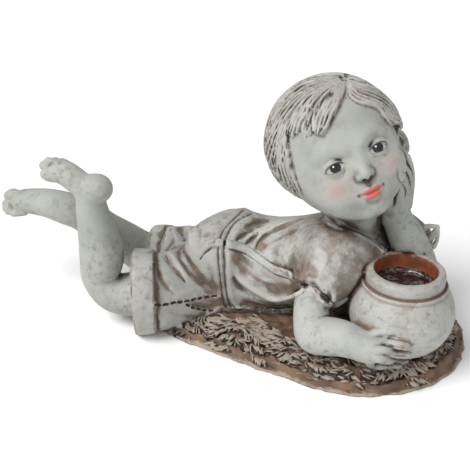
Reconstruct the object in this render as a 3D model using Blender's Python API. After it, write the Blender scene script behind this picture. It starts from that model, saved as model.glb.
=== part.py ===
# Garden figure of a child lying on a grassy mound beside a round pot: one casting.
# Drawn in drawing units (du); UNIT turns them into metres. +X runs from feet to head,
# +Y goes to the hidden side, +Z is up. Joints are given as the place where they are
# seen from the viewing side (across, down) with their depth, and seen() sets them in space.
import bpy, bmesh, math
import numpy as np
from mathutils import Vector, Matrix
from mathutils.bvhtree import BVHTree

UNIT = 0.00087               # metres per drawing unit
VIEW_AZ, VIEW_EL = math.radians(25), math.radians(27)
VIEW_FOCAL, VIEW_DIST, VIEW_MID, AIM_Z = 783.333, 739.0, 235.0, 120.0
FLOOR = 0.0
ORIGIN = (-30.6, 55.8)       # du, middle of the footprint box; made exact at the end
VOXEL_BODY, VOXEL_SKIN = 3.0, 1.7
SKIN_TRIANGLES = 8200

for o in list(bpy.data.objects):
    bpy.data.objects.remove(o, do_unlink=True)

back = Vector((math.sin(VIEW_AZ) * math.cos(VIEW_EL), -math.cos(VIEW_AZ) * math.cos(VIEW_EL), math.sin(VIEW_EL)))
right = Vector((math.cos(VIEW_AZ), math.sin(VIEW_AZ), 0.0))
up = back.cross(right)
eye = Vector((0, 0, AIM_Z)) + back * VIEW_DIST

def sight(u, v):
    return (-back + right * ((u - VIEW_MID) / VIEW_FOCAL) - up * ((v - VIEW_MID) / VIEW_FOCAL)).normalized()

def seen(u, v, y, r=None):
    d = sight(u, v)
    p = eye + d * ((y - eye.y) / d.y)
    return p if r is None else (p.x, p.y, p.z, r)

# ---------------------------------------------------------------- solid makers
def spline(rows, n=5):
    P = np.array(rows, float)
    if len(P) < 3:
        t = np.linspace(0, 1, n + 1)[:, None]
        return P[0] * (1 - t) + P[-1] * t
    Q = np.vstack([2 * P[0] - P[1], P, 2 * P[-1] - P[-2]])
    out = []
    for i in range(1, len(Q) - 2):
        a, b, c, d = Q[i - 1:i + 3]
        for t in np.linspace(0, 1, n, endpoint=False):
            out.append(0.5 * (2 * b + (c - a) * t + (2 * a - 5 * b + 4 * c - d) * t * t + (3 * b - a - 3 * c + d) * t ** 3))
    out.append(P[-1])
    return np.array(out)

class Pile:
    """closed forms gathered into one mesh; overlaps are fused later by the remesher"""
    def __init__(self):
        self.v, self.f, self.n = [], [], 0
    def add(self, me, m=None):
        co = np.zeros(len(me.vertices) * 3)
        me.vertices.foreach_get("co", co)
        co = co.reshape(-1, 3)
        if m is not None:
            M = np.array(m)
            co = co @ M[:3, :3].T + M[:3, 3]
        self.v.append(co)
        self.f += [tuple(i + self.n for i in p.vertices) for p in me.polygons]
        self.n += len(co)
    def to_object(self, name):
        me = bpy.data.meshes.new(name)
        me.from_pydata(np.concatenate(self.v).tolist(), [], self.f)
        ob = bpy.data.objects.new(name, me)
        bpy.context.scene.collection.objects.link(ob)
        return ob

FORMS = {}
def form(kind, seg):
    """a unit ball or drum made once with Blender's primitives"""
    if (kind, seg) not in FORMS:
        bm = bmesh.new()
        if kind == 'ball':
            bmesh.ops.create_uvsphere(bm, u_segments=seg, v_segments=seg // 2 + 2, radius=1.0)
        else:
            bmesh.ops.create_cone(bm, cap_ends=True, segments=seg, radius1=1.0, radius2=kind, depth=1.0)
        me = bpy.data.meshes.new("form")
        bm.to_mesh(me)
        bm.free()
        FORMS[kind, seg] = me
    return FORMS[kind, seg]

def ball(bm, c, r, basis=None, seg=20):
    r = (r, r, r) if isinstance(r, (int, float)) else r
    m = Matrix.Translation(Vector(c[:3]))
    if basis is not None:
        m = m @ basis.to_4x4()
    bm.add(form('ball', seg), m @ Matrix.Diagonal((r[0], r[1], r[2], 1)))

def limb(bm, rows, n=5, seg=4):
    """a swept round of changing radius, closed by a ball at each end"""
    P = spline(rows, n)
    cu = bpy.data.curves.new("sweep", 'CURVE')
    cu.dimensions = '3D'
    cu.bevel_depth, cu.bevel_resolution, cu.use_fill_caps = 1.0, seg, True
    s = cu.splines.new('POLY')
    s.points.add(len(P) - 1)
    for q, p in zip(s.points, P):
        q.co = (p[0], p[1], p[2], 1.0)
        q.radius = p[3]
    ob = bpy.data.objects.new("sweep", cu)
    me = bpy.data.meshes.new_from_object(ob)
    bm.add(me)
    for p in (P[0], P[-1]):
        ball(bm, p, float(p[3]), seg=4 * seg)
    bpy.data.objects.remove(ob, do_unlink=True)
    bpy.data.curves.remove(cu)
    bpy.data.meshes.remove(me)

def drum(bm, a, b, ra, rb, seg=32):
    """a flat-ended round between two centres"""
    a, b = Vector(a[:3]), Vector(b[:3])
    m = Matrix.Translation((a + b) / 2) @ (b - a).to_track_quat('Z', 'Y').to_matrix().to_4x4()
    bm.add(form(rb / ra, seg), m @ Matrix.Diagonal((ra, ra, (b - a).length, 1)))

def spun(bm, profile, c, seg=32):
    """a closed profile of (radius, height) pairs turned round the vertical through c"""
    vs = [bm.verts.new((c[0] + r, c[1], z)) for r, z in profile]
    es = [bm.edges.new((vs[i], vs[i + 1])) for i in range(len(vs) - 1)]
    bmesh.ops.spin(bm, geom=vs + es, cent=(c[0], c[1], 0), axis=(0, 0, 1), angle=2 * math.pi, steps=seg, use_merge=True)
    bmesh.ops.remove_doubles(bm, verts=bm.verts[:], dist=0.01)
    bmesh.ops.recalc_face_normals(bm, faces=bm.faces[:])

def to_object(bm, name):
    me = bpy.data.meshes.new(name)
    bm.to_mesh(me)
    bm.free()
    ob = bpy.data.objects.new(name, me)
    bpy.context.scene.collection.objects.link(ob)
    return ob

def settle(ob):
    """turn the object's modifiers into its mesh"""
    dg = bpy.context.evaluated_depsgraph_get()
    me = bpy.data.meshes.new_from_object(ob.evaluated_get(dg))
    ob.modifiers.clear()
    ob.data = me
    return ob

def skin(ob, voxel, rounds, factor=0.5):
    m = ob.modifiers.new("fuse", 'REMESH')
    m.mode, m.voxel_size = 'VOXEL', voxel
    m = ob.modifiers.new("soften", 'SMOOTH')
    m.iterations, m.factor = rounds, factor
    return settle(ob)

# ---------------------------------------------------------------- the mound
MOUND = ((-28, 22, 46), (25, 38, 66), (80, 50, 84), (116, 56, 88), (132, 80, 72))   # x, y, radius
RIM_LOW, RIM_HIGH = 9.0, 19.0

def rim_height(x):
    return RIM_LOW + (RIM_HIGH - RIM_LOW) * min(1, max(0, (x + 70) / 280))

def mound(bm):
    for x, y, r in spline(MOUND, 4):
        h = rim_height(x)
        drum(bm, (x, y, -4), (x, y, h), r, r - 3, seg=48)
        ball(bm, (x, y, h - 3), (r * 0.93, r * 0.93, 11), seg=28)

# ---------------------------------------------------------------- the figure
TRUNK = ((205, 268, 68, 50), (228, 263, 68, 52), (246, 262, 69, 51), (275, 263, 72, 47), (305, 259, 75, 44), (338, 251, 76, 42))
BELLY = ((262, 290, 72, 34), (300, 296, 78, 34), (335, 300, 84, 32))
NEAR_THIGH = ((206, 284, 50, 43), (180, 289, 22, 42), (156, 292, -3, 40))
FAR_THIGH = ((206, 249, 92, 38), (184, 250, 97, 36), (166, 252, 100, 34))
NEAR_LEG = ((156, 290, -4, 24), (128, 291, -13, 21), (112, 290, -18, 19.5), (101, 276, -20, 19.5), (102, 256, -20, 22.5),
            (99, 238, -20, 20.5), (94, 218, -20, 17), (91, 203, -20, 15), (92, 190, -20, 13.5))
NEAR_FOOT = ((97, 187, -20, 12.5), (84, 186, -20, 12.5), (67, 174, -20, 12.5), (56, 170, -20, 11))
FAR_LEG = ((160, 257, 100, 26), (145, 253, 88, 24), (124, 240, 66, 21.5), (104, 229, 45, 20.5), (84, 214, 26, 19),
           (66, 208, 16, 17.5), (48, 203, 10, 15.5), (30, 201, 6, 13.5), (22, 201, 4, 12))
NEAR_ARM = ((330, 270, 26, 27), (318, 292, 8, 24), (311, 316, -8, 20), (313, 335, -15, 18.5), (326, 336, -18, 19.5),
            (341, 338, -20, 18.5), (358, 344, -21, 16), (368, 348, -20, 14.5))
FAR_ARM = ((400, 250, 116, 24), (415, 268, 106, 22), (423, 288, 94, 20), (417, 264, 84, 20), (408, 240, 77, 18),
           (399, 222, 72, 14.5), (395, 208, 70, 12.5))

# head axes: turned a little to its left, bowed a little and tilted to its right shoulder
TURN, BOW, TILT = math.radians(8), math.radians(-7), math.radians(26)
_f = back * math.cos(TURN) + right * math.sin(TURN)
face_fwd = (_f * math.cos(BOW) + up * math.sin(BOW)).normalized()
_u = up * math.cos(TILT) - right * math.sin(TILT)
face_up = (_u - face_fwd * _u.dot(face_fwd)).normalized()
face_x = face_up.cross(face_fwd)
HEAD = Matrix((face_x, face_up, face_fwd)).transposed()
HEAD_MID = seen(337, 148, 58)

def on_head(x, y, z, r=None):
    p = HEAD_MID + HEAD @ Vector((x, y, z))
    return p if r is None else (p.x, p.y, p.z, r)

def body(bm):
    for rows in (TRUNK, BELLY, NEAR_THIGH, FAR_THIGH, NEAR_ARM[:2], FAR_ARM[:3]):
        limb(bm, [seen(*r) for r in rows])
    ball(bm, seen(222, 250, 56), (44, 42, 44))
    ball(bm, seen(338, 258, 40), (36, 34, 36))
    ball(bm, seen(366, 272, 56), (30, 28, 30))
    ball(bm, seen(398, 246, 112), (28, 26, 30))
    limb(bm, [seen(342, 252, 72, 27), seen(350, 222, 64, 24), seen(348, 195, 60, 26)])
    # skull, cheeks, jaw and chin
    ball(bm, on_head(0, 4, -4), (57, 60, 59), HEAD, 32)
    ball(bm, on_head(0, -20, 10), (49, 44, 44), HEAD, 28)
    ball(bm, on_head(0, -46, 30), (24, 19, 20), HEAD)
    for s in (-1, 1):
        ball(bm, on_head(s * 24, -30, 28), (22, 22, 21), HEAD)

def limbs(bm):
    for rows in (NEAR_LEG, NEAR_FOOT, FAR_LEG, NEAR_ARM, FAR_ARM):
        limb(bm, [seen(*r) for r in rows])

# ---------------------------------------------------------------- hair, face, hands and feet
HAIR = (60, 58, 58)
HAIR_MID = (0, 7, -9)

def scalp(lon, lat, lift):
    """a place on the hair: lon from the face round to its left side, lat up to the crown"""
    a, b = math.radians(lon), math.radians(lat)
    d = Vector((math.sin(a) * math.cos(b), math.sin(b), math.cos(a) * math.cos(b)))
    k = 1 / math.sqrt(sum((d[i] / HAIR[i]) ** 2 for i in range(3))) + lift
    return on_head(*(HAIR_MID[i] + d[i] * k for i in range(3)))

def lock(bm, a, b, r0, r1, sag=0.0, lift=0.0):
    """one lock swept over the hair from place a to place b, thick in its middle"""
    rows = []
    for t in (0, 0.25, 0.5, 0.75, 1):
        lon = a[0] + (b[0] - a[0]) * t
        lat = a[1] + (b[1] - a[1]) * t + sag * math.sin(math.pi * t)
        p = scalp(lon, lat, lift)
        rows.append((p.x, p.y, p.z, r0 + (r1 - r0) * t))
    limb(bm, rows, 3, 2)

PARTING = (8, 64)
def hair(bm):
    ball(bm, on_head(*HAIR_MID), HAIR, HEAD, 40)
    for i in range(6):                       # left of the parting, swept across the brow and down the temple
        t = i / 5
        lock(bm, (PARTING[0] - 20 * t, PARTING[1] - 6 + 12 * t), (-22 - 72 * t, 16 - 46 * t), 5.6, 4.6, 15 - 6 * t, 2.4)
    for i in range(5):                       # right of the parting
        t = i / 4
        lock(bm, (PARTING[0] + 8, PARTING[1] - 4 + 10 * t), (46 + 40 * t, 30 - 30 * t), 5.4, 4.4, 14, 2.4)
    for i in range(13):                      # the back, from the crown down to the nape
        lon = 96 + 168 * i / 12
        lock(bm, (lon, 72), (lon + (8 if lon < 180 else -8), -38 + 6 * math.cos(i * 2.1)), 6.0, 5.2, 0, -1.0)

def face(bm):
    for s in (-1, 1):
        ball(bm, on_head(s * 20.5, -8, 43.5), (9.5, 8.5, 9), HEAD)                                     # eye
        limb(bm, [on_head(s * 31, -7, 43, 1.8), on_head(s * 20, -0.5, 53, 2.2), on_head(s * 10, -8, 51, 1.6)], 4, 3)   # upper lid
        limb(bm, [on_head(s * 30, 8, 45, 2.5), on_head(s * 20, 13, 51, 3.2), on_head(s * 9, 9, 54, 3)], 4, 3)        # brow
        ball(bm, on_head(s * 6, -28, 54.5), (4, 3.6, 4), HEAD, 12)                                     # nostril
        ball(bm, on_head(s * 56, -10, -4), (6, 15, 10), HEAD)                                          # ear
    limb(bm, [on_head(0, -6, 52, 3.4), on_head(0, -18, 56, 4.2), on_head(0, -26, 58.5, 5.4)], 4, 3)              # nose
    limb(bm, [on_head(-11, -41, 48.5, 2.0), on_head(0, -39.5, 51.5, 3.0), on_head(11, -41, 48.5, 2.0)], 3, 3)
    limb(bm, [on_head(-8, -45, 48, 2.0), on_head(0, -46.5, 50.5, 3.6), on_head(8, -45, 48, 2.0)], 3, 3)

NEAR_HAND = ((366, 347, -20, 13), (378, 350, -21, 13.5), (384, 351, -22, 12))
NEAR_FINGERS = (((380, 344, -20, 5.4), (394, 344, -19, 5.0), (406, 345.5, -17, 4.2)),
                ((382, 354, -21, 5.0), (395, 353, -20, 4.6), (407, 352.5, -18, 4.0)),
                ((381, 362, -22, 4.8), (394, 361.5, -21, 4.4), (406, 359.5, -19, 3.9)),
                ((377, 366, -22, 4.4), (388, 368, -22, 4.0), (397, 367.5, -21, 3.5)))
NEAR_THUMB = ((370, 340, -18, 6), (379, 333, -15, 5.6), (387, 331.5, -13, 5), (394, 331, -11, 4.2))
FAR_HAND = ((396, 212, 70, 11), (398, 200, 68, 10.5), (401, 188, 66, 9.5))
FAR_FINGERS = (((399, 186, 62, 4.6), (399, 170, 56, 4.4), (398, 153, 50, 4.0), (396, 140, 46, 3.6)),
               ((403, 186, 65, 4.8), (404, 168, 60, 4.5), (403, 150, 55, 4.2), (400, 134, 51, 3.6)),
               ((406, 188, 69, 4.8), (408, 170, 66, 4.5), (407, 154, 62, 4.0), (405, 140, 58, 3.6)),
               ((407, 192, 74, 4.5), (410, 176, 72, 4.2), (411, 163, 70, 3.8)))
FAR_THUMB = ((391, 205, 62, 5.5), (388, 195, 56, 5), (388, 184, 51, 4.4), (390, 176, 48, 4))

def hands(bm):
    for rows in (NEAR_HAND, NEAR_THUMB, FAR_HAND, FAR_THUMB) + NEAR_FINGERS + FAR_FINGERS:
        limb(bm, [seen(*r) for r in rows], 3, 3)

def toes(bm, ball_joint, tip, across, size):
    """five toes in a row from the ball of the foot to the tips"""
    a, b, w = Vector(ball_joint), Vector(tip), Vector(across)
    for i in range(5):
        t = i / 4 - 0.5
        r = size * (1.25, 1.0, 0.92, 0.84, 0.74)[i]
        k = 1 - 0.12 * i
        p, q = a + w * t, a + w * t + (b - a) * k
        limb(bm, [(*p, r * 1.1), (*(p.lerp(q, 0.6) + Vector((0, 0, 0.5))), r * 0.85), (*q, r)], 3, 3)

# ---------------------------------------------------------------- clothes
def ring(bm, mid, axis, radius, r, seg=36, squash=1.0):
    """a closed band round an axis"""
    n = Vector(axis).normalized()
    a = Vector((0, 0, 1)).cross(n).normalized()
    b = n.cross(a)
    rows = []
    for i in range(seg + 2):
        t = 2 * math.pi * i / seg
        p = Vector(mid) + a * math.cos(t) * radius + b * math.sin(t) * radius * squash
        rows.append((p.x, p.y, p.z, r))
    limb(bm, rows, 1, 2)

class Surface:
    """the finished body, looked at along lines of sight to lay the carving on it"""
    def __init__(self, ob):
        self.tree = BVHTree.FromObject(ob, bpy.context.evaluated_depsgraph_get())
    def at(self, u, v, sink=0.0):
        d = sight(u, v)
        p, n, _, _ = self.tree.ray_cast(eye, d)
        return None if p is None else p - n * sink

def drape(bm, surf, guide, r, sink=0.45):
    """a fold on a hidden side, dropped from its guide onto the body"""
    rows = []
    for q in spline(guide, 5):
        p, n, _, _ = surf.tree.find_nearest(Vector(q))
        w = r * (0.6 if len(rows) in (0,) else 1.0)
        p = p - n * w * sink
        rows.append((p.x, p.y, p.z, w))
    limb(bm, rows, 1, 2)

def relief(bm, surf, path, r, sink=0.4, n=5):
    """a raised round laid along a path seen on the body"""
    P = spline([(u, v, 0) for u, v in path], n)
    rows = []
    for i, (u, v, _) in enumerate(P):
        t = i / (len(P) - 1)
        w = r * (0.6 + 0.4 * min(1, 6 * t, 6 * (1 - t)))
        p = surf.at(u, v, w * sink)
        if p is not None and (not rows or (Vector(rows[-1][:3]) - p).length < 30):
            rows.append((p.x, p.y, p.z, w))
    if len(rows) > 2:
        limb(bm, rows, 1, 2)

NEAR_CUFF, CUFF_AXIS, NEAR_CUFF_R = (157, 291, -6), (-0.87, -0.49, 0.0), 43.5
FAR_CUFF, FAR_CUFF_AXIS, FAR_CUFF_R = (173, 250, 99), (-0.97, -0.10, -0.20), 36.5
CUFF_WIDE = 24.0
WAIST_MID, WAIST_AXIS, WAIST_R = (246, 261, 69), (0.93, 0.06, 0.30), 52.5
WAISTBAND = (((252, 206), (233, 222), (222, 246), (222, 270), (229, 292), (240, 314)),
             ((261, 208), (242, 222), (231, 246), (231, 270), (238, 292), (249, 313)))
STRAP = ((199, 244), (209, 239), (222, 240), (245, 246), (268, 257), (290, 267), (318, 278), (350, 289))
STRAP_FORK = ((197, 258), (204, 250), (212, 243), (224, 242))
NECKLINE = ((314, 208), (326, 217), (338, 226), (355, 236), (372, 245), (382, 253), (386, 250))
SLEEVE_HEM = ((298, 284), (296, 296), (303, 301), (311, 298), (320, 303), (332, 303), (338, 296))
SHIRT_FOLDS = (((234, 238), (250, 228), (272, 221), (298, 217)), ((240, 252), (258, 262), (276, 272), (300, 280)),
               ((240, 268), (252, 284), (270, 297), (292, 304)), ((246, 290), (258, 302), (272, 309), (288, 310)),
               ((262, 236), (285, 240), (305, 246), (325, 256)), ((300, 226), (312, 236), (330, 246), (350, 254)))
BACK_FOLDS = (((-8, 130, 40), (10, 135, 62), (34, 130, 84)), ((0, 135, 30), (26, 135, 48), (56, 130, 66)),
              ((14, 100, 112), (34, 112, 108), (60, 112, 112)), ((-50, 135, 50), (-80, 140, 40), (-112, 140, 30)),
              ((-48, 110, 100), (-72, 120, 84), (-104, 128, 64)))
SHORT_FOLDS = (((163, 256), (172, 268), (183, 281), (198, 290)), ((170, 300), (190, 298), (210, 292), (228, 288)),
               ((186, 300), (194, 312), (206, 318), (220, 314)), ((205, 262), (200, 276), (204, 292), (214, 304)))

def clothes(bm, surf):
    for mid, axis, r in ((seen(*NEAR_CUFF), CUFF_AXIS, NEAR_CUFF_R), (seen(*FAR_CUFF), FAR_CUFF_AXIS, FAR_CUFF_R)):
        drum(bm, mid, mid + Vector(axis) * CUFF_WIDE, r, r + 1.0, 40)
    mid, axis = Vector(seen(*WAIST_MID)), Vector(WAIST_AXIS)
    for k in (-4.5, 4.0):
        ring(bm, mid + axis * k, axis, WAIST_R, 3.6)
    for path in WAISTBAND:
        relief(bm, surf, path, 4.2, 0.05)
    relief(bm, surf, STRAP, 6.0, 0.3)
    relief(bm, surf, STRAP_FORK, 5.0, 0.3)
    relief(bm, surf, NECKLINE, 4.4, 0.2)
    relief(bm, surf, SLEEVE_HEM, 5.5, 0.1)
    for path in SHIRT_FOLDS:
        relief(bm, surf, path, 6.5, 0.45)
    for path in SHORT_FOLDS:
        relief(bm, surf, path, 5.5, 0.45)
    for guide in BACK_FOLDS:
        drape(bm, surf, guide, 5.5)
    # near sleeve: its flared hem stands off the arm
    hem_a, hem_b = seen(326, 280, 16), seen(319, 292, 6)
    drum(bm, hem_a, hem_b, 24.5, 26.0, 28)
    # flared hem of the far sleeve
    hem_a, hem_b = Vector(seen(402, 240, 116)), Vector(seen(413, 251, 110))
    drum(bm, hem_a, hem_b, 25.0, 27.5, 28)

def grass(bm):
    """tufts round the edge of the mound: short bent blades in twos"""
    for i in range(30):
        t = i / 29
        if t < 0.62:                          # along the front
            x, y = -50 + 190 * t / 0.62, -17 - 9 * math.sin(2.6 * t / 0.62) + 5 * math.sin(i * 2.4)
        else:                                 # round the head end and behind
            a = math.radians(-50 + 150 * (t - 0.62) / 0.38)
            x, y = 132 + 66 * math.cos(a), 66 + 66 * math.sin(a)
        h, a = rim_height(x) + 5, 1.1 * math.sin(i * 1.7)
        for k in (-1, 1):
            limb(bm, [(x, y, h - 3, 4.2), (x + 3 * a + 2 * k, y - 1, h + 4, 3.4), (x + 8 * a + 5 * k, y - 3, h + 7, 2.4)], 3, 2)

# ---------------------------------------------------------------- the pot
POT_MID = (156.8, 33.0)
POT_BODY, POT_SHOULDER, POT_NECK, POT_LIP, POT_MOUTH = 49.0, 38.5, 35.0, 35.8, 28.0
POT_BASE_Z, POT_BELLY_Z, POT_NECK_Z, POT_TOP_Z, POT_FLOOR_Z = 16.0, 60.0, 89.0, 104.0, 86.0

def pot(bm):
    prof = [(0.0, POT_BASE_Z)]
    rise = math.acos(POT_SHOULDER / POT_BODY)
    for i in range(1, 11):                                     # belly from foot to shoulder
        a = -math.pi / 2 + (math.pi / 2 + rise) * i / 10
        prof.append((POT_BODY * math.cos(a), POT_BELLY_Z + (POT_BELLY_Z - POT_BASE_Z) * math.sin(a)))
    prof += [(POT_SHOULDER - 1, POT_NECK_Z + 0.5), (POT_NECK, POT_NECK_Z + 1.5), (POT_LIP, POT_NECK_Z + 6)]
    for i in range(4):                                         # rounded top of the collar
        a = math.radians(90 * i / 3)
        prof.append((POT_LIP - 3 + 3 * math.cos(a), POT_TOP_Z - 3 + 3 * math.sin(a)))
    prof.append((0.0, POT_TOP_Z - 0.2))
    spun(bm, prof, POT_MID)

def pot_hollow(bm):
    prof = [(0.0, POT_FLOOR_Z)]
    for i in range(4):                                         # rounded floor
        a = math.radians(-90 + 30 * i)
        prof.append((POT_MOUTH - 6 + 5 * math.cos(a), POT_FLOOR_Z + 5 + 5 * math.sin(a)))
    prof += [(POT_MOUTH, POT_TOP_Z - 4), (POT_MOUTH + 1.0, POT_TOP_Z - 1), (POT_MOUTH + 2.5, POT_TOP_Z + 0.5),
             (POT_MOUTH + 2.5, POT_TOP_Z + 12), (0.0, POT_TOP_Z + 12)]
    spun(bm, prof, POT_MID)

# ---------------------------------------------------------------- build
pile = Pile()
mound(pile)
body(pile)
base = skin(pile.to_object("base"), VOXEL_BODY, 10)
surf = Surface(base)

pile = Pile()
pile.add(base.data)
limbs(pile)
hair(pile)
face(pile)
hands(pile)
toes(pile, seen(60, 171, -20), seen(46, 168, -22), Vector(seen(56, 161, -12)) - Vector(seen(58, 181, -30)), 4.4)
toes(pile, seen(20, 200, 4), seen(7, 203, 3), Vector(seen(20, 190, 8)) - Vector(seen(14, 213, 0)), 4.8)
clothes(pile, surf)
grass(pile)
statue = skin(pile.to_object("statue"), VOXEL_SKIN, 1)
bpy.data.objects.remove(base, do_unlink=True)
count = sum(len(p.vertices) - 2 for p in statue.data.polygons)
m = statue.modifiers.new("thin", 'DECIMATE')
m.ratio = SKIN_TRIANGLES / count
settle(statue)

def cutter(make, name):
    bm = bmesh.new()
    make(bm)
    ob = to_object(bm, name)
    ob.hide_render, ob.display_type = True, 'WIRE'
    return ob

def floor_block(bm):
    bmesh.ops.create_cube(bm, size=1.0, matrix=Matrix.Translation((0, 0, -50)) @ Matrix.Diagonal((900, 900, 100, 1)))

tools = [(cutter(pot, "pot_form"), 'UNION'), (cutter(pot_hollow, "pot_hollow"), 'DIFFERENCE'), (cutter(floor_block, "floor_block"), 'DIFFERENCE')]
for ob, op in tools:
    m = statue.modifiers.new(ob.name, 'BOOLEAN')
    m.object, m.operation, m.solver = ob, op, 'EXACT'
settle(statue)
for ob, op in tools:
    bpy.data.objects.remove(ob, do_unlink=True)

# ---------------------------------------------------------------- set in the shared frame
me = statue.data
co = np.zeros(len(me.vertices) * 3)
me.vertices.foreach_get("co", co)
co = co.reshape(-1, 3)
lo, hi = co.min(0), co.max(0)
shift = np.array([(lo[0] + hi[0]) / 2, (lo[1] + hi[1]) / 2, FLOOR])
co = (co - shift) * UNIT
me.vertices.foreach_set("co", co.ravel())
bm = bmesh.new()
bm.from_mesh(me)
bmesh.ops.remove_doubles(bm, verts=bm.verts[:], dist=0.00003)
bmesh.ops.dissolve_degenerate(bm, dist=0.00002, edges=bm.edges[:])
bmesh.ops.triangulate(bm, faces=bm.faces[:])
# keep the one outer body
seen_v, groups = set(), []
for v in bm.verts:
    if v.index in seen_v:
        continue
    stack, grp = [v], []
    seen_v.add(v.index)
    while stack:
        w = stack.pop()
        grp.append(w)
        for e in w.link_edges:
            x = e.other_vert(w)
            if x.index not in seen_v:
                seen_v.add(x.index)
                stack.append(x)
    groups.append(grp)
groups.sort(key=len)
print("bodies", [len(g) for g in groups])
for g in groups[:-1]:
    bmesh.ops.delete(bm, geom=g, context='VERTS')
bmesh.ops.recalc_face_normals(bm, faces=bm.faces[:])
bm.to_mesh(me)
open_edges = sum(1 for e in bm.edges if len(e.link_faces) != 2)
print("shift", [round(float(s), 3) for s in shift], "size", [round(float(s), 4) for s in (hi - lo) * UNIT], "triangles", len(bm.faces), "open edges", open_edges)
bm.free()
for p in me.polygons:
    p.use_smooth = True

mat = bpy.data.materials.new("statue")
mat.use_nodes = True
b = mat.node_tree.nodes["Principled BSDF"]
b.inputs["Base Color"].default_value = (0.58, 0.58, 0.55, 1)
b.inputs["Roughness"].default_value = 0.72
b.inputs["Metallic"].default_value = 0.0
me.materials.clear()
me.materials.append(mat)
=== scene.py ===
# Looks of the lying-child garden figure: one carved and whitewashed casting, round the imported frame.
# The form is sculpted as a distance field in drawing units (du), turned into one mesh, and
# painted from masks worked out on that mesh. +X feet to head, +Y to the hidden side, +Z up.
import bpy, bmesh, math, time
import numpy as np
from mathutils import Vector, Matrix


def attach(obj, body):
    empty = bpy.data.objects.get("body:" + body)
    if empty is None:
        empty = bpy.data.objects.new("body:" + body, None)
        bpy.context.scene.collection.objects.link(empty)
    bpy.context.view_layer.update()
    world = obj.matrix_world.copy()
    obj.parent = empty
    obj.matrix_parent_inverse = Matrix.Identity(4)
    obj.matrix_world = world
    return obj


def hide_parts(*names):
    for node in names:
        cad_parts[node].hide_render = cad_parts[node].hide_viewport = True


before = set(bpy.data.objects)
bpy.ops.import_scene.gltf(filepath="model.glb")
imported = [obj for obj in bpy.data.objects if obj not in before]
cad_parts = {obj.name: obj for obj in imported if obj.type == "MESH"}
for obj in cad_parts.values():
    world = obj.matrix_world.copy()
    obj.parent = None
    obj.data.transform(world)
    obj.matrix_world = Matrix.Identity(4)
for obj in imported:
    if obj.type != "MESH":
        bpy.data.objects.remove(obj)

T0 = time.time()
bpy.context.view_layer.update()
UNIT = 0.00087                          # metres per drawing unit
SHIFT = np.array([-37.316, 47.376, 0.0])   # du, middle of the footprint
F = np.float32

# ------------------------------------------------------------------ the viewing side
VIEW_AZ, VIEW_EL = math.radians(25), math.radians(27)
VIEW_FOCAL, VIEW_DIST, VIEW_MID = 783.333, 739.0, 235.0
AIM = np.array([0.0, 0.0, 120.0])
BACK = np.array([math.sin(VIEW_AZ) * math.cos(VIEW_EL), -math.cos(VIEW_AZ) * math.cos(VIEW_EL), math.sin(VIEW_EL)])
RIGHT = np.array([math.cos(VIEW_AZ), math.sin(VIEW_AZ), 0.0])
UP = np.cross(BACK, RIGHT)
EYE = AIM + BACK * VIEW_DIST

def unit(v):
    v = np.asarray(v, float)
    return v / np.linalg.norm(v)

def sight(u, v):
    return unit(-BACK + RIGHT * ((u - VIEW_MID) / VIEW_FOCAL) - UP * ((v - VIEW_MID) / VIEW_FOCAL))

def seen(u, v, y, r=None):
    d = sight(u, v)
    p = EYE + d * ((y - EYE[1]) / d[1])
    return p if r is None else np.array([*p, r])

def rows(*a):
    return np.array([seen(*q) for q in a])

# ------------------------------------------------------------------ the distance field
def smin(a, b, k):
    if k <= 0:
        return np.minimum(a, b)
    h = np.maximum(k - np.abs(a - b), 0) / k
    return np.minimum(a, b) - h * h * (k * 0.25)

def smax(a, b, k):
    return -smin(-a, -b, k)

def spline(P, n=6):
    P = np.asarray(P, float)
    if len(P) < 3:
        t = np.linspace(0, 1, n + 1)[:, None]
        return P[0] * (1 - t) + P[-1] * t
    Q = np.vstack([2 * P[0] - P[1], P, 2 * P[-1] - P[-2]])
    out = []
    for i in range(1, len(Q) - 2):
        a, b, c, d = Q[i - 1:i + 3]
        for t in np.linspace(0, 1, n, endpoint=False):
            out.append(0.5 * (2 * b + (c - a) * t + (2 * a - 5 * b + 4 * c - d) * t * t + (3 * b - a - 3 * c + d) * t ** 3))
    out.append(P[-1])
    return np.array(out)

SKIN, CLOTH, HAIR, MOUND, POT, POTIN = 1, 2, 3, 4, 5, 6

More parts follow.
